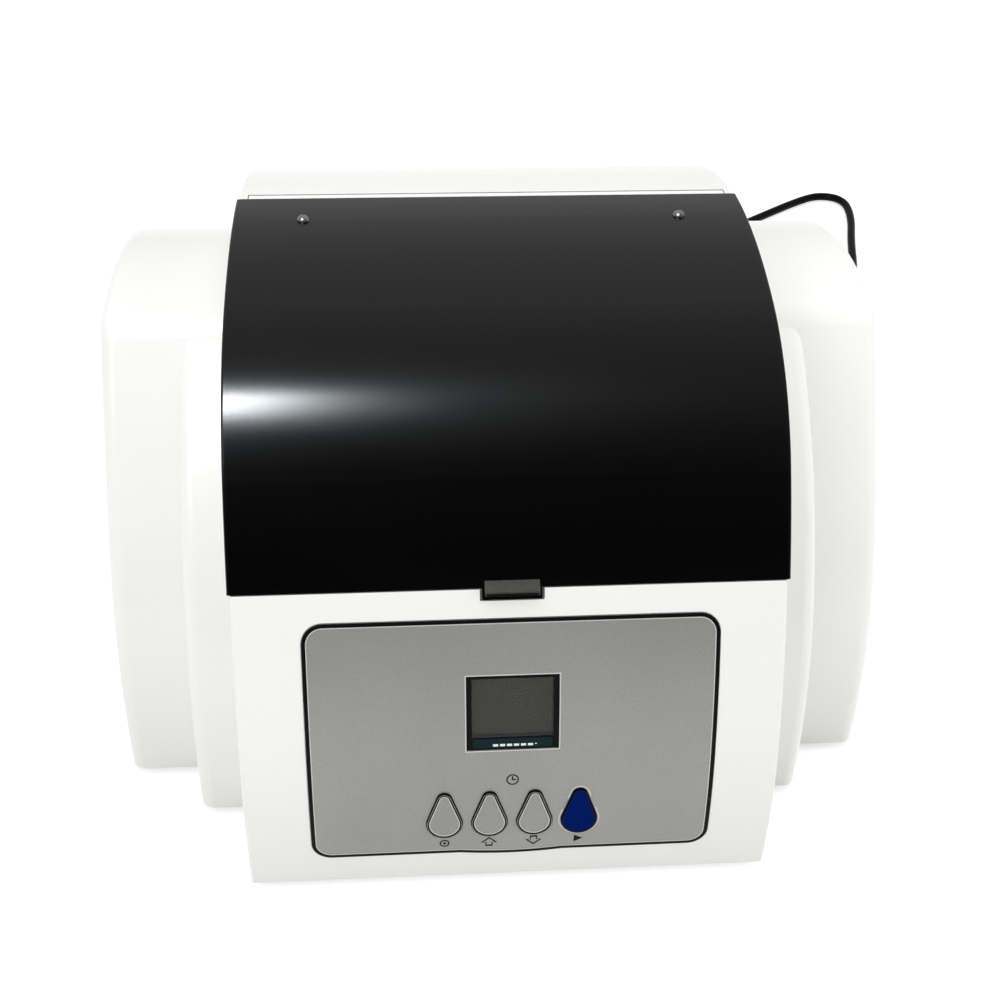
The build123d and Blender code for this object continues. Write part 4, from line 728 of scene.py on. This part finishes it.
def add_icons(ink):
    """Plain signs: a ring with a dot, two arrows and a triangle under the keys, a clock over them."""
    middle = (KEYS["key_recall"], ICON_HEIGHT)
    rings = [tuple(arrow(grow, KEYS[name], ICON_HEIGHT, way) for grow in (ICON_LINE, -ICON_LINE))
             for name, way in (("key_up", 1), ("key_down", -1))]
    rings.append(tuple(arc_points(middle, radius, *ICON_ARC) for radius in ICON_RING))
    triangle = [(KEYS["key_start"] + u, ICON_HEIGHT + v) for u, v in TRIANGLE]
    printed("key_icons", KEY_PANEL.draped, ink, rings, [triangle, arc_points(middle, ICON_DOT, *DOT_ARC)])
    face = tuple(arc_points((0, CLOCK_HEIGHT), radius, *CLOCK_ARC) for radius in CLOCK_RING)
    hands = [(-CLOCK_HAND, -CLOCK_HAND), (-CLOCK_HAND, CLOCK_UP), (CLOCK_HAND, CLOCK_UP),
             (CLOCK_HAND, CLOCK_HAND), (CLOCK_ACROSS, CLOCK_HAND), (CLOCK_ACROSS, -CLOCK_HAND)]
    printed("timer_icon", KEY_PANEL.draped, ink, [face], [[(u, CLOCK_HEIGHT + v) for u, v in hands]])


def add_front_prints():
    ink = ink_material("print_black", INK, 0.2)
    pale = ink_material("print_pale", PALE, 0.04)
    add_film_prints(ink, pale)
    add_key_prints(ink, pale)
    add_icons(ink)


def on_rocker(u, v, w):
    """Over the rocker's hollow face at rest, seen from the rear: u to the right, v up, w out."""
    x, y, z = ROCKER_PIVOT
    out = ROCKER_MIDDLE_OUT + (ROCKER_ENDS_OUT - ROCKER_MIDDLE_OUT) * (v / ROCKER_REACH) ** 2 + w
    tilt = math.radians(ROCKER_TILT)
    back, up = out * math.cos(tilt) - v * math.sin(tilt), out * math.sin(tilt) + v * math.cos(tilt)
    return Vector((x - u, y + back, z + up)) * MM


def add_rocker_marks():
    """The plain bar and ring that stand for on and off."""
    white = ink_material("print_white", (0.75, 0.75, 0.74), 0.04)
    height = ROCKER_REACH * MARK_OUT
    ring = tuple(arc_points((0, -height), radius, *MARK_ARC) for radius in MARK_RING)
    bar = divided(rectangle(MARK_WIDTH, MARK_HEIGHT, 0, height), BAR_STEP)
    printed("rocker_marks", on_rocker, white, [ring], [bar], level=0.0, body="rocker", slot="rocker_black")


def add_key_lips():
    """The film's thin lip round each key, which closes the gap of its opening."""
    rings = [(teardrop(KEY_GAP, x), teardrop(LIP_GAP, x)) for x in KEYS.values()]
    printed("key_lips", KEY_PANEL.draped, MATERIALS["keypad_overlay"], rings, level=FILM_PROUD - INK_LIFT)


def add_lid_screw_domes():
    """Domed heads with a dimple in the middle, over the lid's two plain screw heads."""

    def fill(work):
        for x in (-LID_SCREW_X, LID_SCREW_X):
            rows = []
            for radius, height in SCREW_DOME:
                count = SCREW_STEPS if radius else 1
                turns = [2 * math.pi * i / SCREW_STEPS for i in range(count)]
                rows.append([work.verts.new(SCREW_PANEL.flat(
                    x + radius * math.cos(a), radius * math.sin(a), height)) for a in turns])
            for first, second in zip(rows, rows[1:]):
                for i in range(SCREW_STEPS):
                    corners = [first[i % len(first)], second[i % len(second)],
                               second[(i + 1) % len(second)], first[(i + 1) % len(first)]]
                    work.faces.new(list(dict.fromkeys(corners)))

    domes = finished("lid_screw_domes", fill, "lid", MATERIALS["lid_screws"])
    for face in domes.data.polygons:
        face.use_smooth = True


def add_display():
    """The display behind its lens: the grey cell, and the contact strip with its row of marks below it."""
    cell = finish("display_cell", (0.027, 0.0275, 0.021), 0.35, mottle=(60, 0.06),
                  grain=(2600, 0.1, 0.00001))
    teal = finish("display_strip", (0.003, 0.017, 0.022), 0.25, mottle=(150, 0.2),
                  grain=(900, 0.05, 0.00001))
    marks = finish("display_marks", (0.8, 0.82, 0.8), 0.4, mottle=(300, 0.05), grain=(2000, 0.05, 0.00001))
    screen = rectangle(GLASS_WIDTH - CELL_MARGIN, GLASS_HEIGHT - CELL_MARGIN, 0, GLASS_RISE)
    printed("display_cell", WINDOW_PANEL.flat, cell, patches=[screen],
            level=-BEZEL_DROP - CELL_DEPTH + CELL_RISE, slot="display_dark")
    bottom = -WINDOW_HEIGHT / 2
    strip = rectangle(GLASS_WIDTH - STRIP_MARGIN, STRIP_HEIGHT, 0, bottom + STRIP_RISE)
    printed("contact_strip", WINDOW_PANEL.flat, teal, patches=[strip], level=-BEZEL_DROP,
            slot="display_frame")
    dashes = [rectangle(*DASH_SIZE, DASH_FIRST + DASH_PITCH * i, bottom + DASH_RISE) for i in range(DASHES)]
    dashes.append(rectangle(*DOT_SIZE, DOT_PLACE, bottom + DOT_RISE))
    printed("contact_marks", WINDOW_PANEL.flat, marks, patches=dashes, level=-BEZEL_DROP + INK_LIFT,
            slot="display_frame")


# ---- light and stage ----


def add_lamp(name, place, target, size, power, colour, in_gloss):
    """A soft lamp that either shows in the object's gloss alone, or lights it and doesn't show there."""
    data = bpy.data.lights.new(name, "AREA")
    data.shape, data.size, data.size_y = "RECTANGLE", size[0], size[1]
    data.energy, data.color = power, colour
    lamp = bpy.data.objects.new(name, data)
    lamp.location = place
    lamp.rotation_euler = (Vector(target) - Vector(place)).to_track_quat("-Z", "Y").to_euler()
    lamp.visible_glossy, lamp.visible_diffuse = in_gloss, not in_gloss
    bpy.context.scene.collection.objects.link(lamp)


def seen_directly(tree, *more):
    """1 for a ray from the camera, one let through to it or one of a further kind, and 0 for the rest."""
    path = tree.nodes.new("ShaderNodeLightPath")
    total = path.outputs["Is Camera Ray"]
    for name in ("Is Transmission Ray", *more):
        add = tree.nodes.new("ShaderNodeMath")
        add.operation = "MAXIMUM"
        tree.links.new(total, add.inputs[0])
        tree.links.new(path.outputs[name], add.inputs[1])
        total = add.outputs["Value"]
    return total


def add_world():
    """A pale room: white where it is looked at, a soft even light on the object, and in the gloss a room
    that is bright at the back and dark in front."""
    world = bpy.data.worlds.new("studio")
    world.use_nodes = True
    tree = world.node_tree
    path = tree.nodes.new("ShaderNodeLightPath")
    way = tree.nodes.new("ShaderNodeTexCoord")
    split = tree.nodes.new("ShaderNodeSeparateXYZ")
    tree.links.new(way.outputs["Generated"], split.inputs["Vector"])
    room = tree.nodes.new("ShaderNodeMapRange")
    room.inputs["From Min"].default_value = ROOM_DARK_Y
    room.inputs["From Max"].default_value = ROOM_BRIGHT_Y
    room.inputs["To Max"].default_value = ROOM_BACK
    tree.links.new(split.outputs["Y"], room.inputs["Value"])
    gloss = tree.nodes.new("ShaderNodeMix")
    gloss.data_type = "RGBA"
    gloss.inputs[MIX_FIRST].default_value = (*ROOM_LIGHT, 1)
    tree.links.new(path.outputs["Is Glossy Ray"], gloss.inputs["Factor"])
    tree.links.new(room.outputs["Result"], gloss.inputs[MIX_SECOND])
    seen = tree.nodes.new("ShaderNodeMix")
    seen.data_type = "RGBA"
    seen.inputs[MIX_SECOND].default_value = (1, 1, 1, 1)
    tree.links.new(seen_directly(tree), seen.inputs["Factor"])
    tree.links.new(gloss.outputs[MIX_RESULT], seen.inputs[MIX_FIRST])
    tree.links.new(seen.outputs[MIX_RESULT], tree.nodes["Background"].inputs["Color"])
    bpy.context.scene.world = world


def add_floor():
    """A white floor that shows white where it is lit, and keeps the object's shadow."""
    mesh = bpy.data.meshes.new("floor")
    corners = [(x * FLOOR_HALF, y * FLOOR_HALF, 0) for x, y in ((-1, -1), (1, -1), (1, 1), (-1, 1))]
    mesh.from_pydata(corners, [], [(0, 1, 2, 3)])
    floor = bpy.data.objects.new("floor", mesh)
    floor.location.z = -FLOOR_SINK
    material = bpy.data.materials.new("floor_white")
    material.use_nodes = True
    nodes, links, shader = nodes_of(material)
    shader.inputs["Base Color"].default_value = (FLOOR_WHITE, FLOOR_WHITE, FLOOR_WHITE, 1)
    shader.inputs["Roughness"].default_value = 0.9
    shader.inputs["Specular IOR Level"].default_value = 0.0
    shader.inputs["Emission Color"].default_value = (1, 1, 1, 1)
    glow = nodes.new("ShaderNodeMath")
    glow.operation = "MULTIPLY"
    glow.inputs[1].default_value = FLOOR_GLOW
    links.new(seen_directly(material.node_tree, "Is Glossy Ray"), glow.inputs[0])
    links.new(glow.outputs["Value"], shader.inputs["Emission Strength"])
    mesh.materials.append(material)
    bpy.context.scene.collection.objects.link(floor)


def add_light():
    add_world()
    add_floor()
    for lamps, in_gloss in ((LAMPS, False), (GLOSS_LAMPS, True)):
        for name, values in lamps.items():
            add_lamp(name, *values, in_gloss)


# ---- build ----

bpy.context.scene.view_settings.view_transform = "Standard"
add_camera()
add_cord()
dress_nodes()
add_front_prints()
add_key_lips()
add_rocker_marks()
add_lid_screw_domes()
add_display()
add_light()
